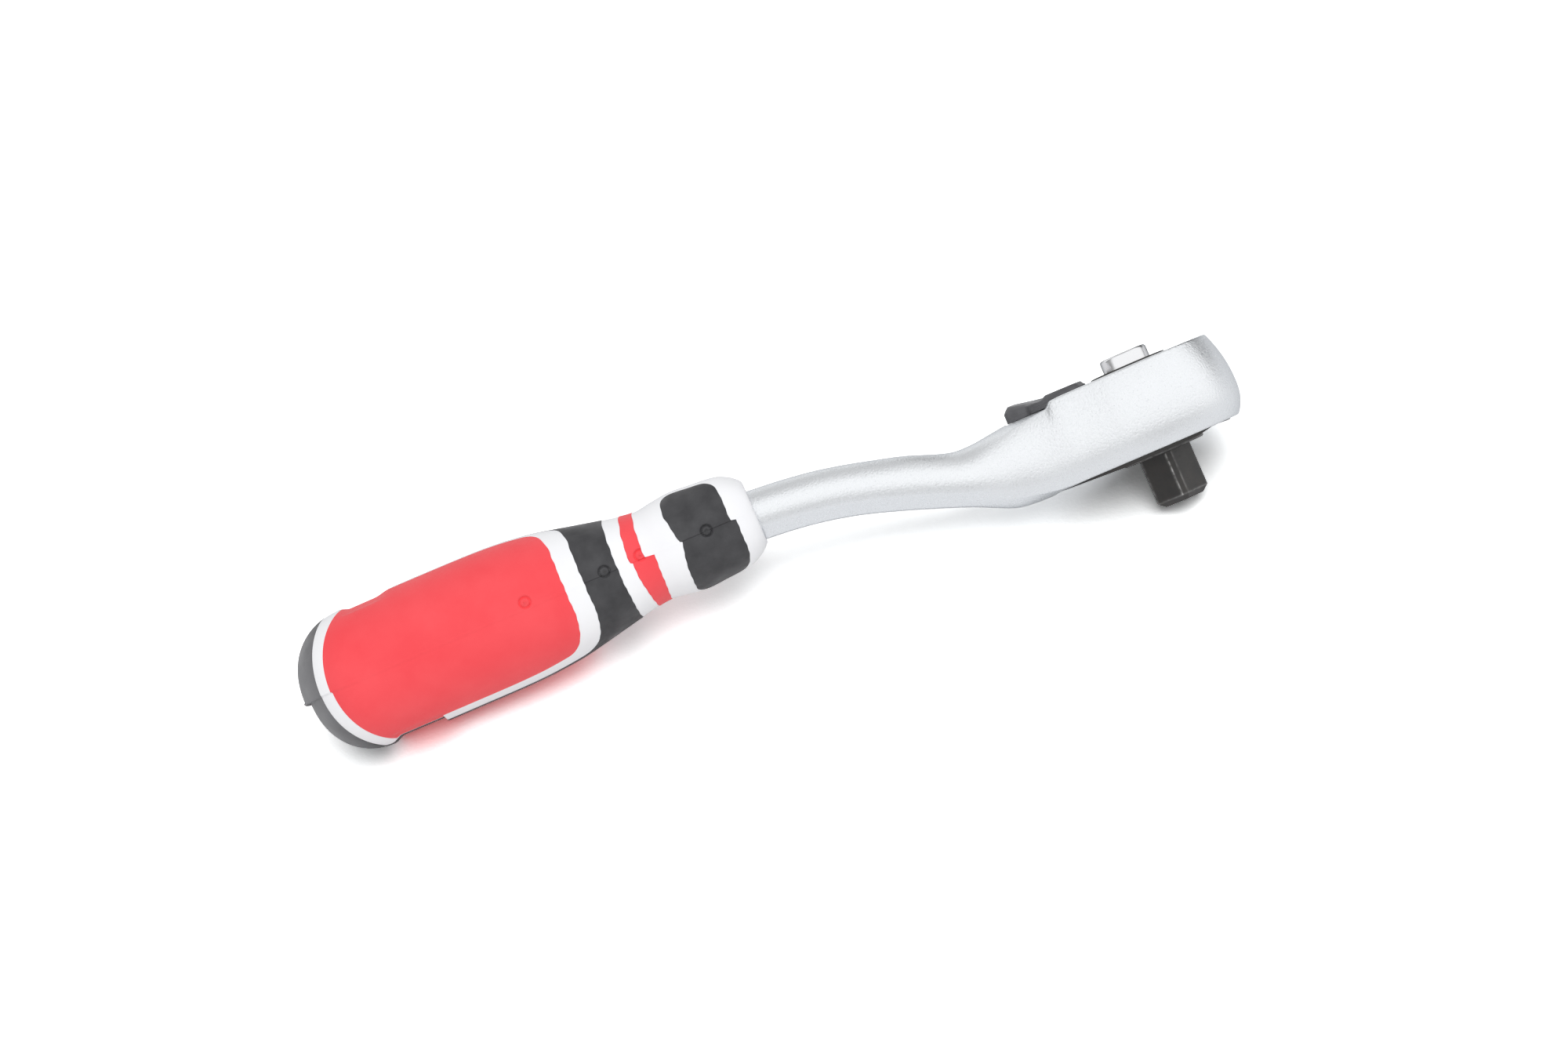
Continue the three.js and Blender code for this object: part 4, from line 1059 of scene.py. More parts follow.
class HandleSkin:
    """The handle's outer surface as a net of points, which patches are cut from."""

    def __init__(self, points: np.ndarray, along: np.ndarray) -> None:
        """Keeps the net and works out its outward directions.

        Args:
            points: Rings by columns by three, in millimetres.
            along: Distance of each point from the nose.
        """
        self.points = points
        self.along = along
        lengthwise = np.gradient(points, axis=0)
        wrapped = np.concatenate((points[:, -1:], points, points[:, :1]), axis=1)
        around = (wrapped[:, 2:] - wrapped[:, :-2]) / 2
        normals = np.cross(around, lengthwise)
        lengths = np.linalg.norm(normals, axis=2, keepdims=True)
        self.normals = normals / np.maximum(lengths, TINY)
        middle = points.mean(axis=1, keepdims=True)
        if np.mean(np.sum((points - middle) * self.normals, axis=2)) < 0:
            self.normals = -self.normals

    def clipped(self, share: np.ndarray, cuts: dict[tuple[int, int], int],
                places: list[tuple[int, int, float]]) -> tuple[list[Face], list[tuple[int, int]]]:
        """Keeps the part of the net where a region's share is above zero.

        Args:
            share: Signed distance inside the region, at each point of the net.
            cuts: Numbers of the corners already cut, by the edge that they lie on.
            places: The cut corners: two net points and the place between them.

        Returns:
            The faces that are kept, and the edges along the cut.
        """
        rings, columns = share.shape
        flat = np.where(share == 0, TINY, share).ravel()
        faces: list[Face] = []
        rim: list[tuple[int, int]] = []

        def corner_between(a: int, b: int) -> int:
            """Finds or adds the corner where the region's edge crosses a net edge.

            Args:
                a: The net point at one end of that edge.
                b: The net point at its other end.

            Returns:
                The corner's number.
            """
            key = (min(a, b), max(a, b))
            if key not in cuts:
                cuts[key] = rings * columns + len(places)
                low, high = flat[key[0]], flat[key[1]]
                places.append((*key, low / (low - high)))
            return cuts[key]

        for i in range(rings - 1):
            row_a, row_b = i * columns, (i + 1) * columns
            for j in range(columns):
                k = (j + 1) % columns
                cell = (row_a + j, row_a + k, row_b + k, row_b + j)
                kept = [flat[c] > 0 for c in cell]
                if all(kept):
                    faces.append(cell)
                    continue
                if not any(kept):
                    continue
                face: list[int] = []
                crossings: list[int] = []
                for n in range(4):
                    a, b = cell[n], cell[(n + 1) % 4]
                    if kept[n]:
                        face.append(a)
                    if kept[n] != kept[(n + 1) % 4]:
                        corner = corner_between(a, b)
                        face.append(corner)
                        crossings.append(corner)
                faces.append(tuple(face))
                if len(crossings) == 2:
                    rim.append((crossings[0], crossings[1]))
        return faces, rim

    def corners(self, places: Sequence[tuple[int, int, float]]) -> tuple[np.ndarray, np.ndarray]:
        """Gives all corners, those of the net and then the cut ones.

        Args:
            places: The cut corners: two net points and the place between them.

        Returns:
            The corners' points and their outward directions.
        """
        points, normals = self.points.reshape(-1, 3), self.normals.reshape(-1, 3)
        if not places:
            return points, normals
        a = np.array([p[0] for p in places])
        b = np.array([p[1] for p in places])
        t = np.array([p[2] for p in places])[:, None]
        return (np.concatenate((points, points[a] + (points[b] - points[a]) * t)),
                np.concatenate((normals, normals[a] + (normals[b] - normals[a]) * t)))


@dataclass
class MouldedHandle:
    """The white core and its soft red and black patches."""

    start: float = 60.0
    length: float = 73.1
    axis: float = 8.75
    squareness: float = 2.3
    butt_rounding: float = 10.3
    butt_squareness: float = 2.2
    butt_mismatch: float = 0.8
    butt_turn: float = 88.5
    stations: tuple[float, ...] = (0, 1.2, 3.4, 7.7, 10.8, 14, 16.5, 19.2, 22, 29, 32.5, 39, 50, 62.6)
    heights: tuple[float, ...] = (5.0, 6.1, 7.15, 7.6, 7.8, 7.45, 7.1, 7.4, 7.95, 9.5, 10.25, 10.95, 11.15, 11.1)
    depths: tuple[float, ...] = (5.0, 6.1, 7.15, 7.6, 7.8, 7.45, 7.1, 7.4, 7.95, 9.4, 10.02, 10.55, 10.62, 10.57)
    widths: tuple[float, ...] = (5.2, 6.3, 7.3, 7.8, 8.1, 7.8, 7.5, 7.8, 8.3, 9.8, 10.5, 11.3, 11.5, 11.4)
    bore: float = 4.2
    bore_depth: float = 8.0
    bore_chamfer: float = 0.3
    bore_front_axis: float = 8.15
    nose_edge: float = 0.35
    nose_bend: float = 0.1
    grip_depth: float = 1.3
    core_room: float = 0.1
    core_flash: float = 0.03
    seam: float = 0.02
    proud: float = 0.05
    flash: float = 0.05
    flash_width: float = 0.16
    parting_groove: float = 0.13
    groove_width: float = 0.07
    groove_fade: float = 0.6
    butt_flash: float = 0.3
    butt_flash_width: float = 0.4
    half_blend: float = 0.16
    half_blend_turn: float = 0.018
    waver: float = 0.035
    waves: tuple[Point, ...] = ((1.7, 0.8, 0.0), (3.9, -1.3, 1.0))
    pad_front: Halves = (3.74, 2.95)
    pad_rear: Halves = (11.9, 11.55)
    pad_lean: float = 0.19
    pad_lean_end: float = 4.2
    pad_gap: float = 2.2
    pad_roll: float = -1.3
    pad_front_corner: tuple[Halves, Halves] = ((2.6, 3.3), (4.05, 6.8))
    pad_rear_corner: Span = (2.0, 3.0)
    band_front: Halves = (17.55, 16.1)
    band_front_bow: Halves = (0.0105, -0.008)
    band_rear: Halves = (19.9, 19.55)
    band_rear_bow: float = 0.016
    ring_front: float = 21.87
    ring_bow: float = 0.005
    frame_front: float = 27.2
    frame_corner: Span = (4.8, 8.7)
    spine_half: float = 1.2
    grip_roll: float = 1.4
    panel_front: float = 30.1
    panel_inner: float = 4.6
    panel_corner: Span = (3.8, 6.8)
    end_curve_start: float = 59.0
    panel_end: tuple[Halves, Halves] = ((8.7, 8.45), (11.95, 10.8))
    cap_edge: tuple[Halves, Halves] = ((10.4, 10.4), (14.0, 11.95))
    label: Span = (54.3, 62.8)
    label_slope: Halves = (3.1, 0.25)
    label_depth: Halves = (0.5, 0.65)
    label_inner: float = 1.7
    label_fade: Span = (-1.4, 0.4)
    label_rise: Span = (0.86, 0.95)
    gates: tuple[tuple[float, float], ...] = ((7.6, 0.1), (18.06, 0.67), (23.8, 0.5), (36.2, 0.9))
    gate_radius: float = 0.8
    gate_groove: float = 0.3
    gate_groove_width: float = 0.15
    gate_nib: float = 0.4
    gate_nib_width: float = 0.22
    columns: int = 168
    line_columns: tuple[float, ...] = (0.004, 0.009, 0.016, 0.026)
    side_columns: tuple[float, float, float] = (0.049, 0.2, 0.012)
    angle_digits: int = 6
    angle_slack: float = 1e-4
    ring_gap: float = 0.4
    least_gap: float = 0.06
    label_margin: float = 0.4
    label_rings: int = 9
    gate_margin: float = 1.2
    gate_rings: int = 21
    butt_rings: int = 48
    sharp_angle: float = 40.0

    def __post_init__(self) -> None:
        """Draws the handle's curves."""
        self.upper_height = StationCurve(self.stations, self.heights)
        self.lower_height = StationCurve(self.stations, self.depths)
        self.half_width = StationCurve(self.stations, self.widths)

    def angles(self) -> np.ndarray:
        """Spreads the columns round the handle, closer together at the parting line on each side.

        Returns:
            The columns' angles, rising from 0.
        """
        even = np.linspace(0, 2 * math.pi, self.columns, endpoint=False)
        close = np.concatenate((self.line_columns, np.arange(*self.side_columns)))
        sides = [base + sign * close for base in (0, math.pi) for sign in (-1, 1)]
        return np.unique(np.round(np.mod(np.concatenate((even, *sides)), 2 * math.pi), self.angle_digits))

    def places(self, last: float) -> list[float]:
        """Spreads the rings along the handle, closer together at the gate marks and the label's step.

        Args:
            last: Where the last of them is.

        Returns:
            Their distances from the nose.
        """
        def near(middle: float, margin: float, count: int) -> np.ndarray:
            """Spreads a few rings about one place."""
            return np.linspace(middle - margin, middle + margin, count)

        close = [near(self.label[0], self.label_margin, self.label_rings)]
        close += [near(along, self.gate_margin, self.gate_rings) for along, _ in self.gates]
        even = np.linspace(self.nose_edge, last, int(last / self.ring_gap))
        kept = [self.nose_edge]
        for place in np.sort(np.concatenate((even, *close))):
            if place - kept[-1] >= self.least_gap:
                kept.append(float(place))
        return kept

    def skin(self) -> HandleSkin:
        """Nets the handle from the back of its bore, round the nose and along to the butt.

        Returns:
            The net.
        """
        round_start = self.length - self.butt_rounding
        angles = self.angles()
        circle = np.stack((np.cos(angles), np.sin(angles)), axis=1)
        y_share, z_share = bent(circle, self.squareness).T
        below = np.clip(0.5 - circle[:, 1] / self.half_blend_turn, 0, 1)
        upper = z_share > 0
        rings, along = [], []
        for depth, radius in ((self.bore_depth, self.bore), (self.bore_chamfer, self.bore),
                              (0.0, self.bore + self.bore_chamfer)):
            oval = circle * radius
            centre = self.bore_front_axis + (self.axis - self.bore_front_axis) * (depth / self.bore_depth)
            rings.append(np.column_stack((np.full(len(angles), -self.start - depth), oval[:, 0], oval[:, 1] + centre)))
            along.append(np.full(len(angles), OUTSIDE - depth))

        def add(distance: float, share: float = 1.0, inset: float = 0.0, shortfall: float = 0.0) -> None:
            """Adds one ring of the outer form.

            Args:
                distance: How far it is from the nose.
                share: Its share of the section there.
                inset: How far it lies inside that section.
                shortfall: How much shorter the lower half of the mould is.
            """
            width = (self.half_width(distance) - inset) * share
            heights = np.where(upper, self.upper_height(distance), self.lower_height(distance))
            height = (heights - inset) * share
            slopes = [smoothstep(distance, self.label[0], self.label[0] + slope) for slope in self.label_slope]
            floor = np.where(upper, slopes[0] * self.label_depth[0], slopes[1] * self.label_depth[1])
            floor *= 1 - smoothstep(distance, *(self.label[1] + fade for fade in self.label_fade))
            sunk = floor * smoothstep(np.abs(z_share), *self.label_rise)
            ridge = self.core_flash * bell(height * z_share, self.flash_width)
            reach = distance - shortfall * below
            rings.append(np.column_stack((
                -self.start - reach, width * y_share + np.sign(y_share) * ridge,
                self.axis + height * z_share - np.sign(z_share) * sunk)))
            along.append(reach)

        add(0.0, inset=self.nose_edge)
        add(self.nose_bend, inset=self.nose_bend)
        for distance in self.places(round_start):
            add(distance)
        for angle in np.radians(np.linspace(0, self.butt_turn, self.butt_rings)[1:]):
            outward = math.sin(angle) ** (2 / self.butt_squareness)
            add(round_start + self.butt_rounding * outward, math.cos(angle) ** (2 / self.butt_squareness),
                shortfall=self.butt_mismatch * outward)
        return HandleSkin(np.array(rings), np.array(along))

    def across(self, skin: HandleSkin, roll: float) -> np.ndarray:
        """Measures round the skin from the line along the top, or the bottom, to the left.

        Args:
            skin: The handle's net.
            roll: How far both lines lie round the handle from the true top and bottom.

        Returns:
            The distance of each point of the net.
        """
        step = np.linalg.norm(np.diff(skin.points, axis=1), axis=2)
        arc = np.concatenate((np.zeros((len(step), 1)), np.cumsum(step, axis=1)), axis=1)
        lines = np.array((math.pi / 2, 1.5 * math.pi)) - self.angle_slack
        top, bottom = np.searchsorted(self.angles(), lines)
        over, under = arc[:, [top]] - arc - roll, arc - arc[:, [bottom]] + roll
        return np.where(skin.points[:, :, 2] > self.axis, over, under)

    def above(self, skin: HandleSkin) -> np.ndarray:
        """Gives the height of each point over the handle's axis."""
        return skin.points[:, :, 2] - self.axis

    def either(self, skin: HandleSkin, halves: Halves) -> np.ndarray:
        """Gives each point the value of the mould half that it lies in."""
        return halves[0] + (halves[1] - halves[0]) * np.clip(0.5 - self.above(skin) / self.half_blend, 0, 1)

    def edge_along(self, skin: HandleSkin) -> np.ndarray:
        """Gives each point's distance from the nose, with the small waver of a moulded edge.

        Args:
            skin: The handle's net.

        Returns:
            The distance of each point of the net.
        """
        y, z = skin.points[:, :, 1], skin.points[:, :, 2]
        waves = [np.sin(upward * z + outward * y + phase) for upward, outward, phase in self.waves]
        return skin.along + self.waver * np.add.reduce(waves)

    def each_side(self, side: np.ndarray, share: np.ndarray) -> tuple[np.ndarray, np.ndarray]:
        """Splits a region into its left and its right half."""
        return np.where(side > 0, share, OUTSIDE), np.where(side < 0, share, OUTSIDE)

    def rounded_corner(self, lengthwise: np.ndarray, across: np.ndarray, long: np.ndarray | float,
                       wide: np.ndarray | float) -> np.ndarray:
        """Joins two distances inside a region with an oval corner.

        Args:
            lengthwise: Distance inside the edge that runs round the handle.
            across: Distance inside the edge that runs along it.
            long: The corner's size along the handle.
            wide: The corner's size round it.

        Returns:
            The distance inside both.
        """
        scaled = across * long / wide
        inside = long - np.hypot(np.minimum(lengthwise - long, 0), np.minimum(scaled - long, 0))
        return np.where((lengthwise < long) & (scaled < long), inside, np.minimum(lengthwise, scaled))

    def end_curve(self, skin: HandleSkin, size: tuple[Halves, Halves]) -> np.ndarray:
        """Ends the panels or the cap by an oval in the side view.

        Args:
            skin: The handle's net.
            size: The oval's length and height, in both halves of the mould.

        Returns:
            The signed distance inside the oval.
        """
        beyond = np.maximum(skin.along - self.end_curve_start, 0)
        long, high = (self.either(skin, halves) for halves in size)
        return (1 - np.hypot(beyond / long, self.above(skin) / high)) * long

    def pads(self, skin: HandleSkin) -> tuple[np.ndarray, np.ndarray]:
        """Draws the pads on the collar.

        Args:
            skin: The handle's net.

        Returns:
            The signed distance inside the left and the right pad.
        """
        along, side = self.edge_along(skin), self.across(skin, self.pad_roll)
        inside = np.abs(side) - self.pad_gap
        front = along - self.either(skin, self.pad_front)
        lean = self.pad_lean * np.minimum(np.abs(self.above(skin)), self.pad_lean_end)
        rear = self.either(skin, self.pad_rear) + lean - along
        corner = [self.either(skin, halves) for halves in self.pad_front_corner]
        pad = np.minimum(self.rounded_corner(front, inside, *corner),
                         self.rounded_corner(rear, inside, *self.pad_rear_corner))
        return self.each_side(side, pad)

    def band(self, skin: HandleSkin) -> np.ndarray:
        """Draws the red band at the waist.

        Args:
            skin: The handle's net.

        Returns:
            The signed distance inside it.
        """
        along, bow = self.edge_along(skin), self.above(skin) ** 2
        front = self.either(skin, self.band_front) - self.either(skin, self.band_front_bow) * bow
        rear = self.either(skin, self.band_rear) - self.band_rear_bow * bow
        return np.minimum(along - front, rear - along)

    def panels(self, skin: HandleSkin) -> tuple[np.ndarray, np.ndarray]:
        """Draws the red panels of the grip.

        Args:
            skin: The handle's net.

        Returns:
            The signed distance inside the left and the right panel.
        """
        along, side = self.edge_along(skin), self.across(skin, self.grip_roll)
        slope = self.either(skin, self.label_slope)
        recess = np.clip((skin.along - self.label[0]) / slope, 0, 1)
        inner = self.panel_inner + (self.label_inner - self.panel_inner) * recess
        front = self.rounded_corner(along - self.panel_front, np.abs(side) - inner, *self.panel_corner)
        panel = np.minimum(front, self.end_curve(skin, self.panel_end))
        return self.each_side(side, panel)

    def black(self, skin: HandleSkin) -> np.ndarray:
        """Draws the black piece: the ring, the two spines and the cap.

        Args:
            skin: The handle's net.

        Returns:
            The signed distance inside it.
        """
        along, side = self.edge_along(skin), self.across(skin, self.grip_roll)
        opening = self.rounded_corner(along - self.frame_front, np.abs(side) - self.spine_half, *self.frame_corner)
        opening = np.minimum(opening, self.end_curve(skin, self.cap_edge))
        return np.minimum(along - self.ring_front + self.ring_bow * self.above(skin) ** 2, -opening)

    def regions(self, skin: HandleSkin) -> dict[str, np.ndarray]:
        """Gives the signed distance inside each patch, at each point of the skin.

        Args:
            skin: The handle's net.

        Returns:
            The distances by the name of the patch.
        """
        panels, pads = self.panels(skin), self.pads(skin)
        return {
            "black_grip": self.black(skin),
            "red_band": self.band(skin),
            "red_grip_left": panels[0],
            "red_grip_right": panels[1],
            "collar_pad_left": pads[0],
            "collar_pad_right": pads[1],
        }

    def lift(self, points: np.ndarray) -> np.ndarray:
        """Raises a patch, with a groove and flash on the parting line and the marks of the gates.

        Args:
            points: Points of the handle's net.

        Returns:
            How far the patch stands proud at each.
        """
        along, above = -points[:, 0] - self.start, points[:, 2] - self.axis
        at_butt = bell(along - self.length + self.butt_mismatch / 2, self.butt_flash_width)
        height = self.proud + (self.flash + self.butt_flash * at_butt) * bell(above, self.flash_width)
        fainter = 1 - self.groove_fade * smoothstep(along, self.frame_front, self.panel_front)
        height -= self.parting_groove * fainter * bell(above, self.groove_width) * (1 - at_butt)
        for gate_along, gate_above in self.gates:
            away = np.hypot(along - gate_along, above - gate_above)
            height += self.gate_nib * bell(away, self.gate_nib_width)
            height -= self.gate_groove * bell(away - self.gate_radius, self.gate_groove_width)
        return height

    def patch(self, name: str, skin: HandleSkin, share: np.ndarray) -> Piece:
        """Makes one patch as a closed shell of the handle's skin.

        Args:
            name: The patch's name.
            skin: The handle's net.
            share: Signed distance inside the patch.

        Returns:
            The patch.
        """
        places: list[tuple[int, int, float]] = []
        faces, rim = skin.clipped(share - self.seam, {}, places)
        points, normals = skin.corners(places)
        columns = skin.points.shape[1]
        last = (skin.points.shape[0] - 1) * columns
        if share[-1].min() > 0:
            faces.append(tuple(range(last, last + columns)))
        count = len(points)
        outer = points + normals * self.lift(points)[:, None]
        inner = points - normals * self.grip_depth
        shell = faces + [tuple(count + c for c in reversed(face)) for face in faces]
        shell += [(a, b, count + b, count + a) for a, b in rim]
        return self.trimmed(name, np.concatenate((outer, inner)), shell)

    def core(self, skin: HandleSkin, share: np.ndarray) -> Piece:
        """Makes the white core, sunk where the patches lie.

        Args:
            skin: The handle's net.
            share: Signed distance inside the nearest patch.

        Returns:
            The core.
        """
        places: list[tuple[int, int, float]] = []
        cuts: dict[tuple[int, int], int] = {}
        bare, rim = skin.clipped(-share, cuts, places)
        sunk, _ = skin.clipped(share, cuts, places)
        points, normals = skin.corners(places)
        columns = skin.points.shape[1]
        last = (skin.points.shape[0] - 1) * columns
        count = len(points)
        floor = points - normals * (self.grip_depth + self.core_room)
        shell = bare + [tuple(count + c for c in face) for face in sunk]
        shell += [(a, b, count + b, count + a) for a, b in rim]
        shell.append(tuple(range(columns)))
        shell.append(tuple(range(count + last, count + last + columns)))
        return self.trimmed("handle_core_moulding", np.concatenate((points, floor)), shell)

    def trimmed(self, name: str, points: np.ndarray, faces: list[Face]) -> Piece:
        """Makes an object of only the corners that its faces use.

        Args:
            name: The piece's name.
            points: The corners.
            faces: Corner numbers of each face.

        Returns:
            The piece.
        """
        used = np.unique(np.fromiter((c for face in faces for c in face), int))
        number = np.full(len(points), -1)
        number[used] = np.arange(len(used))
        piece = solid_object(name, points[used], [tuple(int(number[c]) for c in face) for face in faces])
        return shaded(piece, self.sharp_angle)

    def build(self, shop: FinishShop) -> None:
        """Makes the core and the patches.

        Args:
            shop: Gives the finishes.
        """
        skin = self.skin()
        regions = self.regions(skin)
        nearest = np.maximum.reduce(list(regions.values()))
        shop.fit(self.core(skin, nearest), Slot.WHITE_PLASTIC, Body.HANDLE, "handle_core")
        for node, share in regions.items():
            slot = Slot.RED_RUBBER if node.startswith("red") else Slot.BLACK_RUBBER
            shop.fit(self.patch(f"{node}_moulding", skin, share), slot, Body.HANDLE, node)


@dataclass
class ReverseLever:
    """The lever that turns the ratchet's direction: a low hub, a thumb tab and a spindle."""

    seat: float = 5.74
    underside: float = 5.95
    hub_radius: float = 4.8
    reach: float = 8.2
    root_half_width: float = 2.9
    tip_half_width: float = 2.6
    tip_corner: float = 0.9
    blend: float = 10.0
    ledge: float = 0.28
    ledge_height: float = 0.4
    ledge_fade: float = 4.0
    least_ledge: float = 0.02
    step_rise: float = 0.02
    bevel: float = 0.85
    edge: float = 0.13
    seat_edge: float = 0.05
    foot_edge: float = 0.1
    step_edge: float = 0.008
    crest_softness: float = 1.6
    edge_steps: int = 4
    least_half_width: float = 0.15
    full_half_width: float = 2.0
    crest_places: tuple[float, ...] = (-4.8, -4.45, -3.95, 0.3, 1.3, 7.2, 8.2)
    crest_heights: tuple[float, ...] = (0.9, 0.93, 1.5, 1.55, 1.12, 2.25, 1.6)
    side_places: tuple[float, ...] = (-4.8, 0.3, 7.2, 8.2)
    side_heights: tuple[float, ...] = (0.88, 0.95, 1.4, 1.3)
    spindle_top_radius: float = 3.0
    spindle_radius: float = 2.2
    spindle_end: float = -5.1
    spindle_edge: float = 0.1
    pocket_top: float = 4.05
    overlap: float = 0.3
    rest_turn: float = -25.0
    rear_start: float = 0.03
    rear_rings: int = 40
    tab_rings: int = 72
    tip_turn: float = 1.54
    tip_rings: int = 18
    wear_width: float = 0.2
    wear_depth: float = 0.14
    wear_share: float = 0.8
    wear_start: Span = (0.6, 3.0)
    sharp_angle: float = 28.0

    def half_width(self, along: np.ndarray) -> np.ndarray:
        """Runs the round hub into the tab.

        Args:
            along: Distances from the pivot towards the tab's tip.

        Returns:
            The lever's half width at each.
        """
        hub = np.sqrt(np.maximum(self.hub_radius**2 - along**2, 0))
        tab = self.root_half_width + (self.tip_half_width - self.root_half_width) * along / self.reach
        beyond = np.clip(along - self.reach + self.tip_corner, 0, self.tip_corner)
        tab = tab - self.tip_corner + np.sqrt(self.tip_corner**2 - beyond**2)
        tab = np.where(along > 0, tab, 0)
        return (hub**self.blend + tab**self.blend) ** (1 / self.blend)

    def crest(self, along: np.ndarray) -> np.ndarray:
        """Gives the height of the lever's top."""
        return self.underside + np.interp(along, self.crest_places, self.crest_heights)

    def ring(self, along: float) -> np.ndarray:
        """Makes one ring across the lever.

        Args:
            along: Distance from the pivot towards the tab's tip.

        Returns:
            The ring's points.
        """
        half = max(float(self.half_width(np.array(along))), self.least_half_width)
        scale = min(half / self.full_half_width, 1.0)
        fade = float(1 - smoothstep(along, 0.0, self.ledge_fade))
        wall = half - (self.ledge * scale * fade + self.least_ledge * scale)
        crest = float(self.crest(np.array(along)))
        side = self.underside + float(np.interp(along, self.side_places, self.side_heights))
        foot, edge = self.underside + self.ledge_height, self.edge * scale
        right = [(half, self.seat, self.seat_edge * scale), (half, foot, self.foot_edge * scale),
                 (wall, foot + self.step_rise, self.step_edge * scale), (wall, side, edge),
                 (wall - self.bevel * scale, crest, self.crest_softness * edge)]
        corners = right + [(-across, height, rounding) for across, height, rounding in reversed(right)]
        outline = eased_outline(corners, closed=True, steps=self.edge_steps)
        return np.column_stack((np.full(len(outline), -along), outline))

    def top(self) -> Piece:
        """Makes the hub and the tab.

        Returns:
            The solid, about the pivot.
        """
        rear = -self.hub_radius * np.cos(np.linspace(self.rear_start, math.pi / 2, self.rear_rings))
        tab = np.linspace(0, self.reach - self.tip_corner, self.tab_rings)[1:]
        tip_turns = np.linspace(0, self.tip_turn, self.tip_rings)[1:]
        tip = self.reach - self.tip_corner * (1 - np.sin(tip_turns))
        return lofted("lever_top", np.array([self.ring(float(a)) for a in np.concatenate((rear, tab, tip))]))

    def wear(self, points: np.ndarray) -> np.ndarray:
        """Rubs the tab's two ridges and its tip bright.

        Args:
            points: Points of the lever, about the pivot.

        Returns:
            The wear at each.
        """
        along, across = -points[:, 0], np.abs(points[:, 1])
        ridge = bell(across - self.half_width(along) + self.bevel, self.wear_width)
        near_top = bell(points[:, 2] - self.crest(along), self.wear_depth)
        return self.wear_share * ridge * near_top * smoothstep(along, *self.wear_start)

    def build(self, shop: FinishShop) -> None:
        """Makes the lever.

        Args:
            shop: Gives the finish.
        """
        low, high = self.spindle_end, self.underside + self.overlap
        spindle = turned("lever_spindle", [
            (0, low, 0), (self.spindle_radius, low, self.spindle_edge), (self.spindle_radius, self.pocket_top, 0),
            (self.spindle_top_radius, self.pocket_top, self.spindle_edge), (self.spindle_top_radius, high, 0),
            (0, high, 0),
        ])
        lever = cut(self.top(), spindle, Cut.JOIN)
        set_wear(lever, self.wear)
        moved(lever, (-TOOL.lever_pivot, 0, 0), self.rest_turn)
        shaded(lever, self.sharp_angle)
        shop.fit(lever, Slot.BLACK_LEVER, Body.LEVER, "reverse_lever")


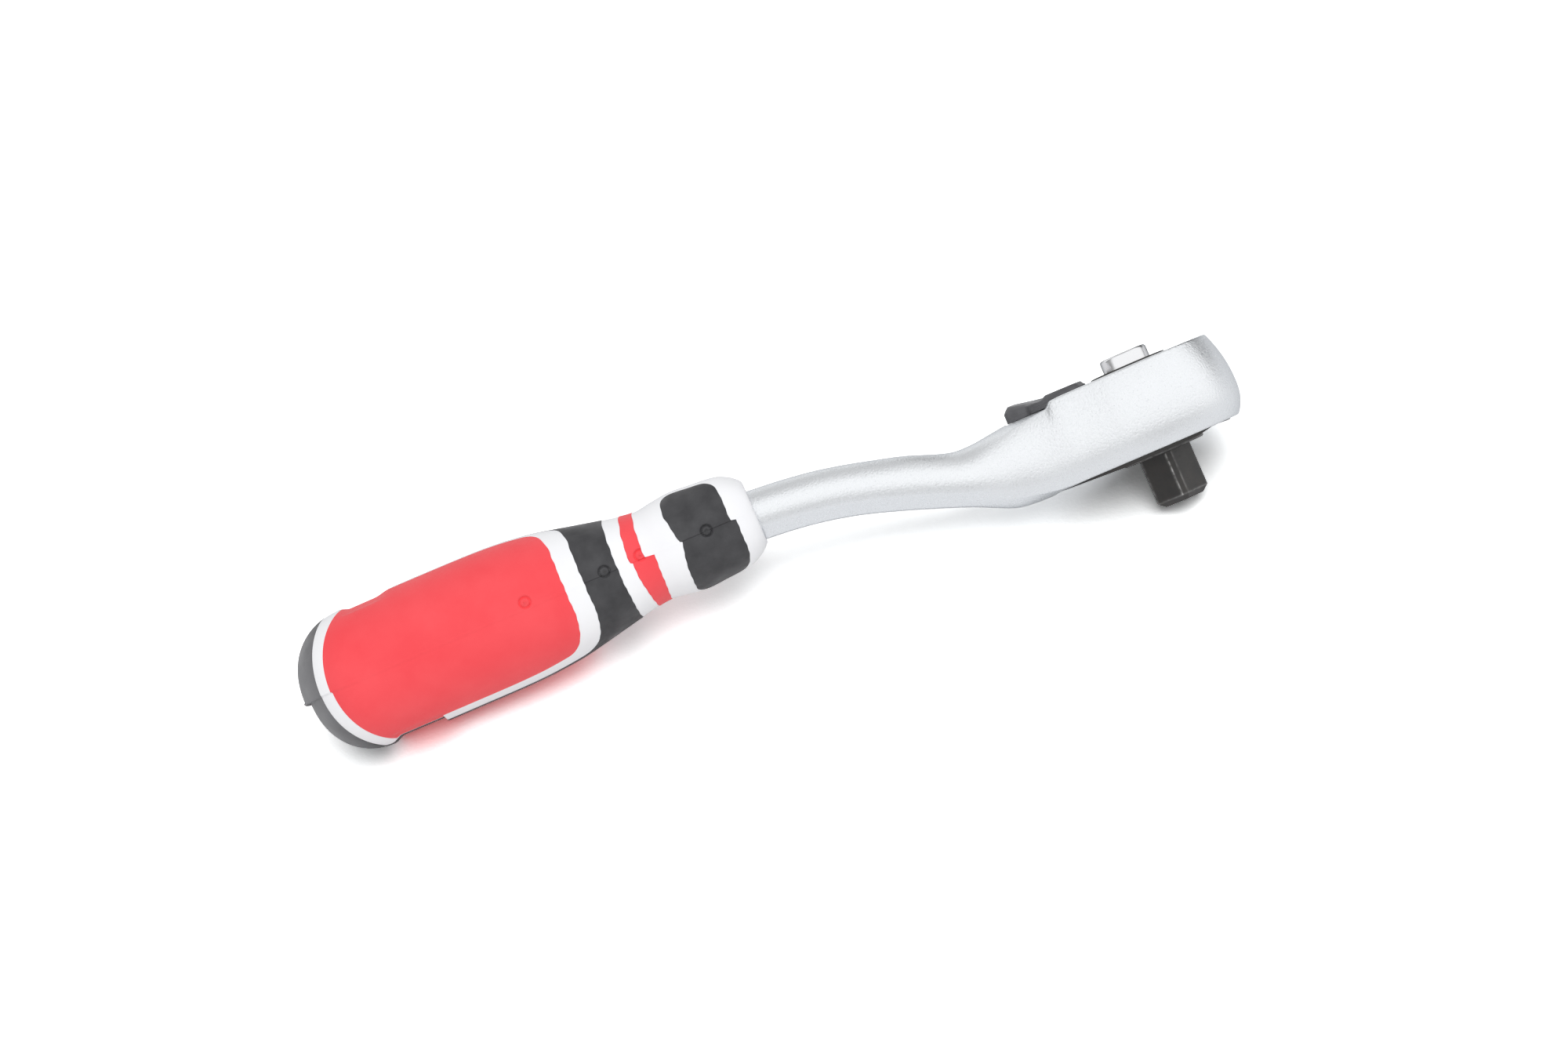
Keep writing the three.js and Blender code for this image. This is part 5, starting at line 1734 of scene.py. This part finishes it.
@dataclass
class CoverPlate:
    """The black plate that closes the underside of the head, with its two screws."""

    radius: float = 11.0
    small_radius: float = 6.0
    land: float = -6.5
    bottom: float = -6.9
    top: float = -5.4
    edge: float = 0.22
    edge_share: float = 0.8
    edge_steps: int = 6
    least_half_width: float = 0.05
    end_turn: float = 0.02
    rings: int = 120
    proud_places: tuple[float, ...] = (-17.6, -7.0, 4.5, 7.0, 9.0, 9.8, 11.0)
    proud: tuple[float, ...] = (0.12, 0.6, 0.5, 0.04, 0.04, 0.16, 0.16)
    hole: float = 6.51
    hole_edge: float = 0.15
    screw_circle: float = 9.45
    screw_angle: float = 50.0
    head_radius: float = 1.15
    head_height: float = 0.7
    head_room: float = 0.12
    thread_radius: float = 0.7
    screw_end: float = -2.0
    head_edge: float = 0.2
    neck_edge: float = 0.05
    thread_edge: float = 0.1
    slot_width: float = 0.35
    slot_depth: float = 0.35
    slot_turns: Span = (20.0, 110.0)
    screw_segments: int = 48
    overcut: float = 1.0
    sharp_angle: float = 30.0

    def screw_place(self, side: int) -> Point:
        """Gives the place of one of the two screws."""
        angle = math.pi + side * math.radians(self.screw_angle)
        return self.screw_circle * math.cos(angle), self.screw_circle * math.sin(angle), 0.0

    def half_width(self, place: float) -> float:
        """Measures the pear outline across.

        Args:
            place: A place along the tool.

        Returns:
            The plate's half width there.
        """
        slope = math.asin((self.radius - self.small_radius) / TOOL.lever_pivot)
        behind = place + TOOL.lever_pivot
        if place > -self.radius * math.sin(slope):
            return math.sqrt(max(self.radius**2 - place**2, 0))
        if behind < -self.small_radius * math.sin(slope):
            return math.sqrt(max(self.small_radius**2 - behind**2, 0))
        return (self.radius + place * math.sin(slope)) / math.cos(slope)

    def blank(self) -> Piece:
        """Makes the plate with a rounded lower edge, before its holes.

        Returns:
            The solid.
        """
        middle = (self.radius - self.small_radius - TOOL.lever_pivot) / 2
        half = (self.radius + self.small_radius + TOOL.lever_pivot) / 2
        rings = []
        for turn in np.linspace(self.end_turn, math.pi - self.end_turn, self.rings):
            place = middle - half * math.cos(turn)
            wide = max(self.half_width(place), self.least_half_width)
            low = self.land - float(np.interp(place, self.proud_places, self.proud))
            edge = min(self.edge, self.edge_share * wide)
            corners = [(wide, self.top, 0), (wide, low, edge), (-wide, low, edge), (-wide, self.top, 0)]
            outline = eased_outline(corners, closed=True, steps=self.edge_steps)
            rings.append(np.column_stack((np.full(len(outline), place), outline)))
        return lofted("cover_plate_black", np.array(rings))

    def plate(self) -> Piece:
        """Makes the plate with its hole for the collar and its two screw holes.

        Returns:
            The plate.
        """
        under, over = self.bottom - self.overcut, self.top + self.overcut
        wide = self.hole + self.hole_edge
        hole = turned("plate_hole", [
            (0, under, 0), (wide, under, 0), (wide, self.bottom, 0), (self.hole, self.bottom + self.hole_edge, 0),
            (self.hole, over, 0), (0, over, 0),
        ])
        plate = cut(self.blank(), hole, Cut.TAKE_AWAY)
        head, thread = self.head_radius + self.head_room, self.thread_radius + self.head_room
        floor = self.bottom + self.head_height + self.head_room
        for side in (1, -1):
            seat = turned("screw_seat", [
                (0, under, 0), (head, under, 0), (head, floor, 0), (thread, floor, 0), (thread, over, 0), (0, over, 0),
            ], self.screw_segments)
            plate = cut(plate, moved(seat, self.screw_place(side)), Cut.TAKE_AWAY)
        return shaded(plate, self.sharp_angle)

    def screw(self, side: int) -> Piece:
        """Makes one screw with a cross recess in its head.

        Args:
            side: Which of the two it is, 1 or -1.

        Returns:
            The screw, in place.
        """
        neck = self.bottom + self.head_height
        screw = turned(f"plate_screw_{side}", [
            (0, self.bottom, 0), (self.head_radius, self.bottom, self.head_edge),
            (self.head_radius, neck, self.neck_edge), (self.thread_radius, neck, 0),
            (self.thread_radius, self.screw_end, self.thread_edge), (0, self.screw_end, 0),
        ], self.screw_segments)
        long, half = self.head_radius - self.slot_width, self.slot_width / 2
        outline = np.array(((-long, -half), (long, -half), (long, half), (-long, half)))
        for turn in self.slot_turns:
            slot = raised("screw_slot", outline, self.bottom - self.overcut, self.bottom + self.slot_depth)
            screw = cut(screw, moved(slot, turn=turn), Cut.TAKE_AWAY)
        return shaded(moved(screw, self.screw_place(side)), self.sharp_angle)

    def build(self, shop: FinishShop) -> None:
        """Makes the plate and the screws.

        Args:
            shop: Gives the finish.
        """
        shop.fit(self.plate(), Slot.BLACK_STEEL, Body.HANDLE, "cover_plate")
        for side, node in ((-1, "cover_screw_1"), (1, "cover_screw_2")):
            shop.fit(self.screw(side), Slot.BLACK_STEEL, Body.HANDLE, node)


@dataclass
class DetentBall:
    """The bright ball that holds a socket on the drive square."""

    radius: float = 0.9
    reach: float = 2.775
    height: float = -11.75
    turn: float = 45.0
    rings: int = 25
    segments: int = 48
    sharp_angle: float = 60.0

    def build(self, shop: FinishShop) -> None:
        """Makes the ball.

        Args:
            shop: Gives the finish.
        """
        angles = np.linspace(-math.pi / 2, math.pi / 2, self.rings)
        profile = [(self.radius * max(math.cos(a), 0), self.radius * math.sin(a), 0.0) for a in angles]
        ball = turned("detent_bead", profile, self.segments)
        angle = math.radians(self.turn)
        moved(ball, (self.reach * math.cos(angle), self.reach * math.sin(angle), self.height))
        shop.fit(shaded(ball, self.sharp_angle), Slot.SPRING_STEEL, Body.BALL, "detent_ball")


@dataclass
class DriveShaft:
    """The gear with its hub, collar and drive square, in one piece of blackened steel."""

    hub_radius: float = 5.93
    hub_top: float = 6.85
    hub_edge: float = 0.2
    collar_radius: float = 6.36
    collar_bottom: float = -7.35
    collar_edge: float = 0.3
    square_half: float = 3.175
    square_end: float = -15.05
    corner_cut: float = 0.66
    corner_edge: float = 0.12
    corner_steps: int = 4
    flat_steps: int = 16
    end_bevel: float = 0.85
    bevel_spread: float = 0.7
    bevel_rings: int = 8
    side_rings: int = 40
    overlap: float = 0.3
    rest_turn: float = 45.0
    gear_radius: float = 7.6
    gear_root: float = 6.75
    gear_low: float = -4.4
    gear_high: float = 3.75
    teeth: int = 36
    tip_share: float = 0.2
    bore: float = 4.7
    groove: float = 5.2
    groove_low: float = 5.05
    groove_high: float = 6.25
    spring_seat: float = -0.15
    pin_bore: float = 1.8
    pin_end: float = -14.05
    ball_bore: float = 1.2
    ball_bore_end: float = 6.0
    ball_bore_segments: int = 32
    ball_height: float = -11.75
    overcut: float = 1.0
    corner_wear: float = 0.85
    corner_wear_width: Span = (0.1, 0.13)
    spared_share: float = 0.35
    end_wear: float = 0.35
    end_wear_width: float = 0.12
    rim_wear: float = 0.25
    rim_wear_width: float = 0.15
    rim_radius: float = 6.0
    square_gap: float = 0.1
    sharp_angle: float = 28.0

    def square(self) -> Piece:
        """Makes the drive square with its cut corners and bevelled end.

        Returns:
            The solid, square to the tool.
        """
        rings = []
        bevel_top = self.square_end + self.end_bevel
        insets = np.linspace(self.end_bevel, 0, self.bevel_rings)
        bevelled = [(self.square_end + (self.end_bevel - inset), inset) for inset in insets]
        heights = np.linspace(bevel_top, self.collar_bottom + self.overlap, self.side_rings)[1:]
        for height, inset in bevelled + [(height, 0.0) for height in heights]:
            side = self.square_half - inset
            flat = self.square_half - self.corner_cut - inset * self.bevel_spread
            half = ((side, -flat), (side, flat), (flat, side), (-flat, side))
            corners = [(sign * x, sign * y, self.corner_edge) for sign in (1, -1) for x, y in half]
            eased = eased_outline(corners, closed=True, steps=self.corner_steps)
            outline = spaced(eased, self.corner_steps, self.flat_steps)
            rings.append(np.column_stack((outline, np.full(len(outline), height))))
        return lofted("drive_square", np.array(rings))

    def gear(self) -> Piece:
        """Makes the toothed ring.

        Returns:
            The solid.
        """
        pitch = 2 * math.pi / self.teeth
        outline = []
        for i in range(self.teeth):
            middle = math.pi + pitch * i
            places = ((self.gear_root, 0), (self.gear_radius, 0.5 - self.tip_share / 2),
                      (self.gear_radius, 0.5 + self.tip_share / 2))
            outline += [(r * math.cos(middle + pitch * s), r * math.sin(middle + pitch * s)) for r, s in places]
        return raised("gear_ring", np.array(outline), self.gear_low, self.gear_high)

    def wear(self, points: np.ndarray) -> np.ndarray:
        """Rubs the square's corners, its end and the collar's edge bright.

        Args:
            points: Points of the drive.

        Returns:
            The wear at each.
        """
        turn = math.radians(-self.rest_turn)
        x = np.abs(points[:, 0] * math.cos(turn) - points[:, 1] * math.sin(turn))
        y = np.abs(points[:, 0] * math.sin(turn) + points[:, 1] * math.cos(turn))
        z = points[:, 2]
        long, short = np.maximum(x, y), np.minimum(x, y)
        on_flat, on_corner = self.corner_wear_width
        corner = bell(long - self.square_half, on_flat) * bell(short - self.square_half + self.corner_cut, on_corner)
        corner *= np.where(x > y, 1.0, self.spared_share)
        end = bell(z - self.square_end - self.end_bevel, self.end_wear_width)
        rim = bell(z - self.collar_bottom - self.rim_wear_width, self.rim_wear_width)
        rim *= np.hypot(points[:, 0], points[:, 1]) > self.rim_radius
        on_square = z < self.collar_bottom - self.square_gap
        return np.where(on_square, self.corner_wear * corner + self.end_wear * end, self.rim_wear * rim)

    def build(self, shop: FinishShop) -> None:
        """Makes the drive.

        Args:
            shop: Gives the finish.
        """
        drive = turned("drive", [
            (0, self.collar_bottom, 0), (self.collar_radius, self.collar_bottom, self.collar_edge),
            (self.collar_radius, 0, 0), (self.hub_radius, 0, 0), (self.hub_radius, self.hub_top, self.hub_edge),
            (0, self.hub_top, 0),
        ])
        drive = cut(drive, self.gear(), Cut.JOIN)
        drive = cut(drive, moved(self.square(), turn=self.rest_turn), Cut.JOIN)
        over = self.hub_top + self.overcut
        bore = turned("drive_bore", [
            (0, self.pin_end, 0), (self.pin_bore, self.pin_end, 0), (self.pin_bore, self.spring_seat, 0),
            (self.bore, self.spring_seat, 0), (self.bore, self.groove_low, 0), (self.groove, self.groove_low, 0),
            (self.groove, self.groove_high, 0), (self.bore, self.groove_high, 0), (self.bore, over, 0), (0, over, 0),
        ])
        drive = cut(drive, bore, Cut.TAKE_AWAY)
        hole = rod("ball_hole", self.ball_bore, 0, self.ball_bore_end, self.ball_bore_segments)
        moved(hole, tip=90)
        moved(hole, (0, 0, self.ball_height), self.rest_turn)
        drive = cut(drive, hole, Cut.TAKE_AWAY)
        set_wear(drive, self.wear)
        shaded(drive, self.sharp_angle)
        shop.fit(drive, Slot.BLACK_STEEL, Body.DRIVE, "drive_gear")


@dataclass
class ReleaseButton:
    """The bright push button and its pin."""

    radius: float = 3.7
    top: float = 8.85
    edge: float = 0.55
    flange_radius: float = 4.4
    flange_low: float = 4.25
    flange_high: float = 5.05
    pin_radius: float = 1.5
    neck_radius: float = 0.85
    neck_low: float = -10.65
    neck_high: float = -9.65
    pin_end: float = -12.15
    small_edge: float = 0.1
    segments: int = 128
    sharp_angle: float = 40.0

    def build(self, shop: FinishShop) -> None:
        """Makes the button.

        Args:
            shop: Gives the finish.
        """
        ramp = self.pin_radius - self.neck_radius
        button = turned("release_button_cap", [
            (0, self.pin_end, 0), (self.pin_radius, self.pin_end, self.small_edge),
            (self.pin_radius, self.neck_low - ramp, 0), (self.neck_radius, self.neck_low, 0),
            (self.neck_radius, self.neck_high, 0), (self.pin_radius, self.neck_high + ramp, 0),
            (self.pin_radius, self.flange_low, 0), (self.flange_radius, self.flange_low, self.small_edge),
            (self.flange_radius, self.flange_high, self.small_edge), (self.radius, self.flange_high, 0),
            (self.radius, self.top, self.edge), (0, self.top, 0),
        ], self.segments)
        shaded(button, self.sharp_angle)
        shop.fit(button, Slot.BRIGHT_CHROME, Body.BUTTON, "release_button")


@dataclass
class ReleaseSpring:
    """The coil spring under the button."""

    radius: float = 4.1
    wire: float = 0.3
    turns: int = 3
    foot: float = 0.15
    crown: float = 3.95
    pressed_share: float = 0.58
    sides: int = 16
    steps: int = 48
    sharp_angle: float = 50.0

    def build(self, shop: FinishShop) -> None:
        """Winds the spring.

        Args:
            shop: Gives the finish.
        """
        around = np.linspace(0, 2 * math.pi, self.sides, endpoint=False)
        wide, tall = self.radius + self.wire * np.cos(around), self.wire * np.sin(around)
        rings = []
        for share in np.linspace(0, 1, self.turns * self.steps + 1):
            turn = 2 * math.pi * self.turns * share
            middle = self.foot + self.wire + (self.crown - self.foot - 2 * self.wire) * share
            rings.append(np.column_stack((wide * math.cos(turn), wide * math.sin(turn), tall + middle)))
        spring = shaded(lofted("release_spring_coil", np.array(rings)), self.sharp_angle)
        shop.fit(spring, Slot.SPRING_STEEL, Body.DRIVE, "release_spring")
        TOOL.direction((0, 0, 1))
        TOOL.place((0, 0, self.foot))
        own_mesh(spring)


class HiddenWorks:
    """The CAD nodes that keep their shape: washer, ring, pawl, plunger, pawl spring and clip."""

    STEEL = ("friction_washer", "button_retaining_ring", "pawl", "pawl_plunger", "pawl_spring",
             "lever_retaining_clip")

    def dress(self, shop: FinishShop) -> None:
        """Gives each of them its finish.

        Args:
            shop: Gives the finish.
        """
        for name in self.STEEL:
            shop.dress(frame["nodes"][name], Slot.SPRING_STEEL)
            LOG.info("%s keeps its CAD shape", name)


# Studio


@dataclass
class PhotoCamera:
    """The camera of the photograph: square to the handle, and rolled in its own picture."""

    aim: Point = (-56.6, 0.0, 5.516)
    distance: float = 500.0
    roll: float = 23.3
    tilt: float = 0.8
    pixels_per_mm: float = 8.5
    image_width: int = 2000
    sensor: float = 36.0
    nearest: float = 0.01

    def build(self) -> None:
        """Sets up the camera and makes it the scene's own."""
        tilt, roll = math.radians(self.tilt), math.radians(self.roll)
        ahead = Vector((0, math.cos(tilt), math.sin(tilt)))
        level, upright = Vector((1, 0, 0)), Vector((1, 0, 0)).cross(ahead)
        right = level * math.cos(roll) - upright * math.sin(roll)
        up = level * math.sin(roll) + upright * math.cos(roll)
        lens = bpy.data.cameras.new("photo_camera")
        lens.sensor_width = self.sensor
        lens.lens = self.pixels_per_mm * self.distance * self.sensor / self.image_width
        lens.clip_start = self.nearest
        camera = bpy.data.objects.new("photo_camera", lens)
        axes = [TOOL.direction(v) for v in (right, up, -ahead)]
        matrix = Matrix(axes).transposed().to_4x4()
        matrix.translation = TOOL.place(Vector(self.aim) - ahead * self.distance)
        camera.matrix_world = matrix
        bpy.context.scene.collection.objects.link(camera)
        bpy.context.scene.camera = camera


@dataclass(frozen=True)
class DimSide:
    """A side of the room that polished metal mirrors darker.

    Args:
        towards: Its direction along the tool's axes. One with no z is a tall strip.
        level: How bright it is.
        span: How well a direction agrees with it where it begins and where it is full.
    """

    towards: Point
    level: float
    span: Span


@dataclass
class Studio:
    """A white bench in a pale room under soft light."""

    floor_half: float = 0.3
    floor_colour: Colour = (0.9, 0.9, 0.9)
    mirrored_floor: Colour = (0.74, 0.745, 0.755)
    floor_extra: Colour = (0.76, 0.78, 0.785)
    floor_roughness: float = 0.9
    paper_per_mm: float = 1.4
    paper_depth: float = 0.05
    sky: float = 0.5
    key: float = 1.9
    key_spread: float = 40.0
    key_from: Point = (0.1, -0.45, 1.0)
    strip_height: float = 0.7
    dim_sides: tuple[DimSide, ...] = (
        DimSide((-1, 0, 0), 0.3, (0.87, 0.99)), DimSide((0, 0, 1), 0.58, (0.7, 0.99)),
        DimSide((0, 0, -1), 0.62, (0.02, 0.55)), DimSide((0.77, 0.64, 0), 0.05, (0.8, 0.97)))

    def paper(self) -> bpy.types.Material:
        """Makes the bench's white, which is brighter where it is seen so that only deep shadows show on it.

        Returns:
            The material.
        """
        board = NodeBoard("bench_white")
        normal = board.bump(board.noise(self.paper_per_mm), self.paper_depth)
        white = board.tint(board.seen_by("Is Glossy Ray"), self.floor_colour, self.mirrored_floor)
        board.surface(Roughness=self.floor_roughness, Specular_IOR_Level=0.0, Base_Color=white)
        more = board.tint(board.seen_by("Is Camera Ray", "Is Transmission Ray"), BLACK, self.floor_extra)
        extra = board.add("ShaderNodeBsdfDiffuse", {"Color": more, "Normal": normal})
        both = board.add("ShaderNodeAddShader", {0: board.shader.outputs[0], 1: extra.outputs[0]})
        board.fill(board.tree.nodes["Material Output"].inputs["Surface"], both.outputs[0])
        return board.material

    def floor(self) -> None:
        """Lays the bench top."""
        half = self.floor_half
        mesh = bpy.data.meshes.new("bench")
        mesh.from_pydata([(-half, -half, 0), (half, -half, 0), (half, half, 0), (-half, half, 0)], [], [(0, 1, 2, 3)])
        mesh.materials.append(self.paper())
        bench = bpy.data.objects.new("bench", mesh)
        bpy.context.scene.collection.objects.link(bench)

    def light(self) -> None:
        """Sets the soft key light, which polished metal does not mirror."""
        lamp = bpy.data.lights.new("key", "SUN")
        lamp.energy = self.key
        lamp.angle = math.radians(self.key_spread)
        key = bpy.data.objects.new("key", lamp)
        key.rotation_euler = Vector(self.key_from).to_track_quat("Z", "Y").to_euler()
        key.visible_glossy = False
        bpy.context.scene.collection.objects.link(key)

    def levelled(self, room: NodeLayout, view: Socket) -> Socket:
        """Draws directions towards the head's own level, so that a dark side of the room is a tall strip.

        Args:
            room: The world's nodes.
            view: The direction.

        Returns:
            The drawn direction.
        """
        upright = room.vector("PROJECT", view, TOOL.direction((0, 0, 1)))
        lowered = room.vector("MULTIPLY_ADD", upright, (-self.strip_height,) * 3, view)
        return room.vector("NORMALIZE", lowered)

    def mirrored(self, room: NodeLayout) -> Socket:
        """Darkens some sides of the room for what polished metal mirrors.

        Args:
            room: The world's nodes.

        Returns:
            How bright the room is in each direction.
        """
        view = room.add("ShaderNodeTexCoord").outputs["Generated"]
        around = self.levelled(room, view)
        total: float | Socket = 1.0
        for side in self.dim_sides:
            inputs = {0: view if side.towards[2] else around, 1: TOOL.direction(side.towards)}
            facing = room.add("ShaderNodeVectorMath", inputs, operation="DOT_PRODUCT").outputs["Value"]
            shade = room.levels(facing, (1.0, side.level), side.span, interpolation_type="SMOOTHSTEP")
            total = room.number("MULTIPLY", total, shade)
        return total

    def surroundings(self) -> None:
        """Makes a pale room, white to the camera and darker on some sides to polished metal."""
        world = bpy.data.worlds.new("white_room")
        world.use_nodes = True
        bpy.context.scene.world = world
        room = NodeLayout(world.node_tree)
        seen = room.seen_by("Is Camera Ray", "Is Glossy Ray", "Is Transmission Ray")
        strength = room.levels(seen, (self.sky, 1.0), WHOLE)
        sides = room.levels(room.seen_by("Is Glossy Ray"), (1.0, self.mirrored(room)), WHOLE)
        back = room.tree.nodes["Background"]
        room.fill(back.inputs["Color"], WHITE)
        room.fill(back.inputs["Strength"], room.number("MULTIPLY", strength, sides))

    def build(self) -> None:
        """Sets up the bench, the light and the room."""
        bpy.context.scene.view_settings.view_transform = "Standard"
        self.floor()
        self.light()
        self.surroundings()


def main() -> None:
    """Builds the dressed ratchet and its studio."""
    logging.basicConfig(level=logging.INFO, format="%(name)s: %(message)s")
    PhotoCamera().build()
    shop = FinishShop()
    ForgedBody().build(shop)
    MouldedHandle().build(shop)
    ReverseLever().build(shop)
    CoverPlate().build(shop)
    DriveShaft().build(shop)
    DetentBall().build(shop)
    ReleaseButton().build(shop)
    ReleaseSpring().build(shop)
    HiddenWorks().dress(shop)
    Studio().build()


if __name__ == "__main__":
    main()
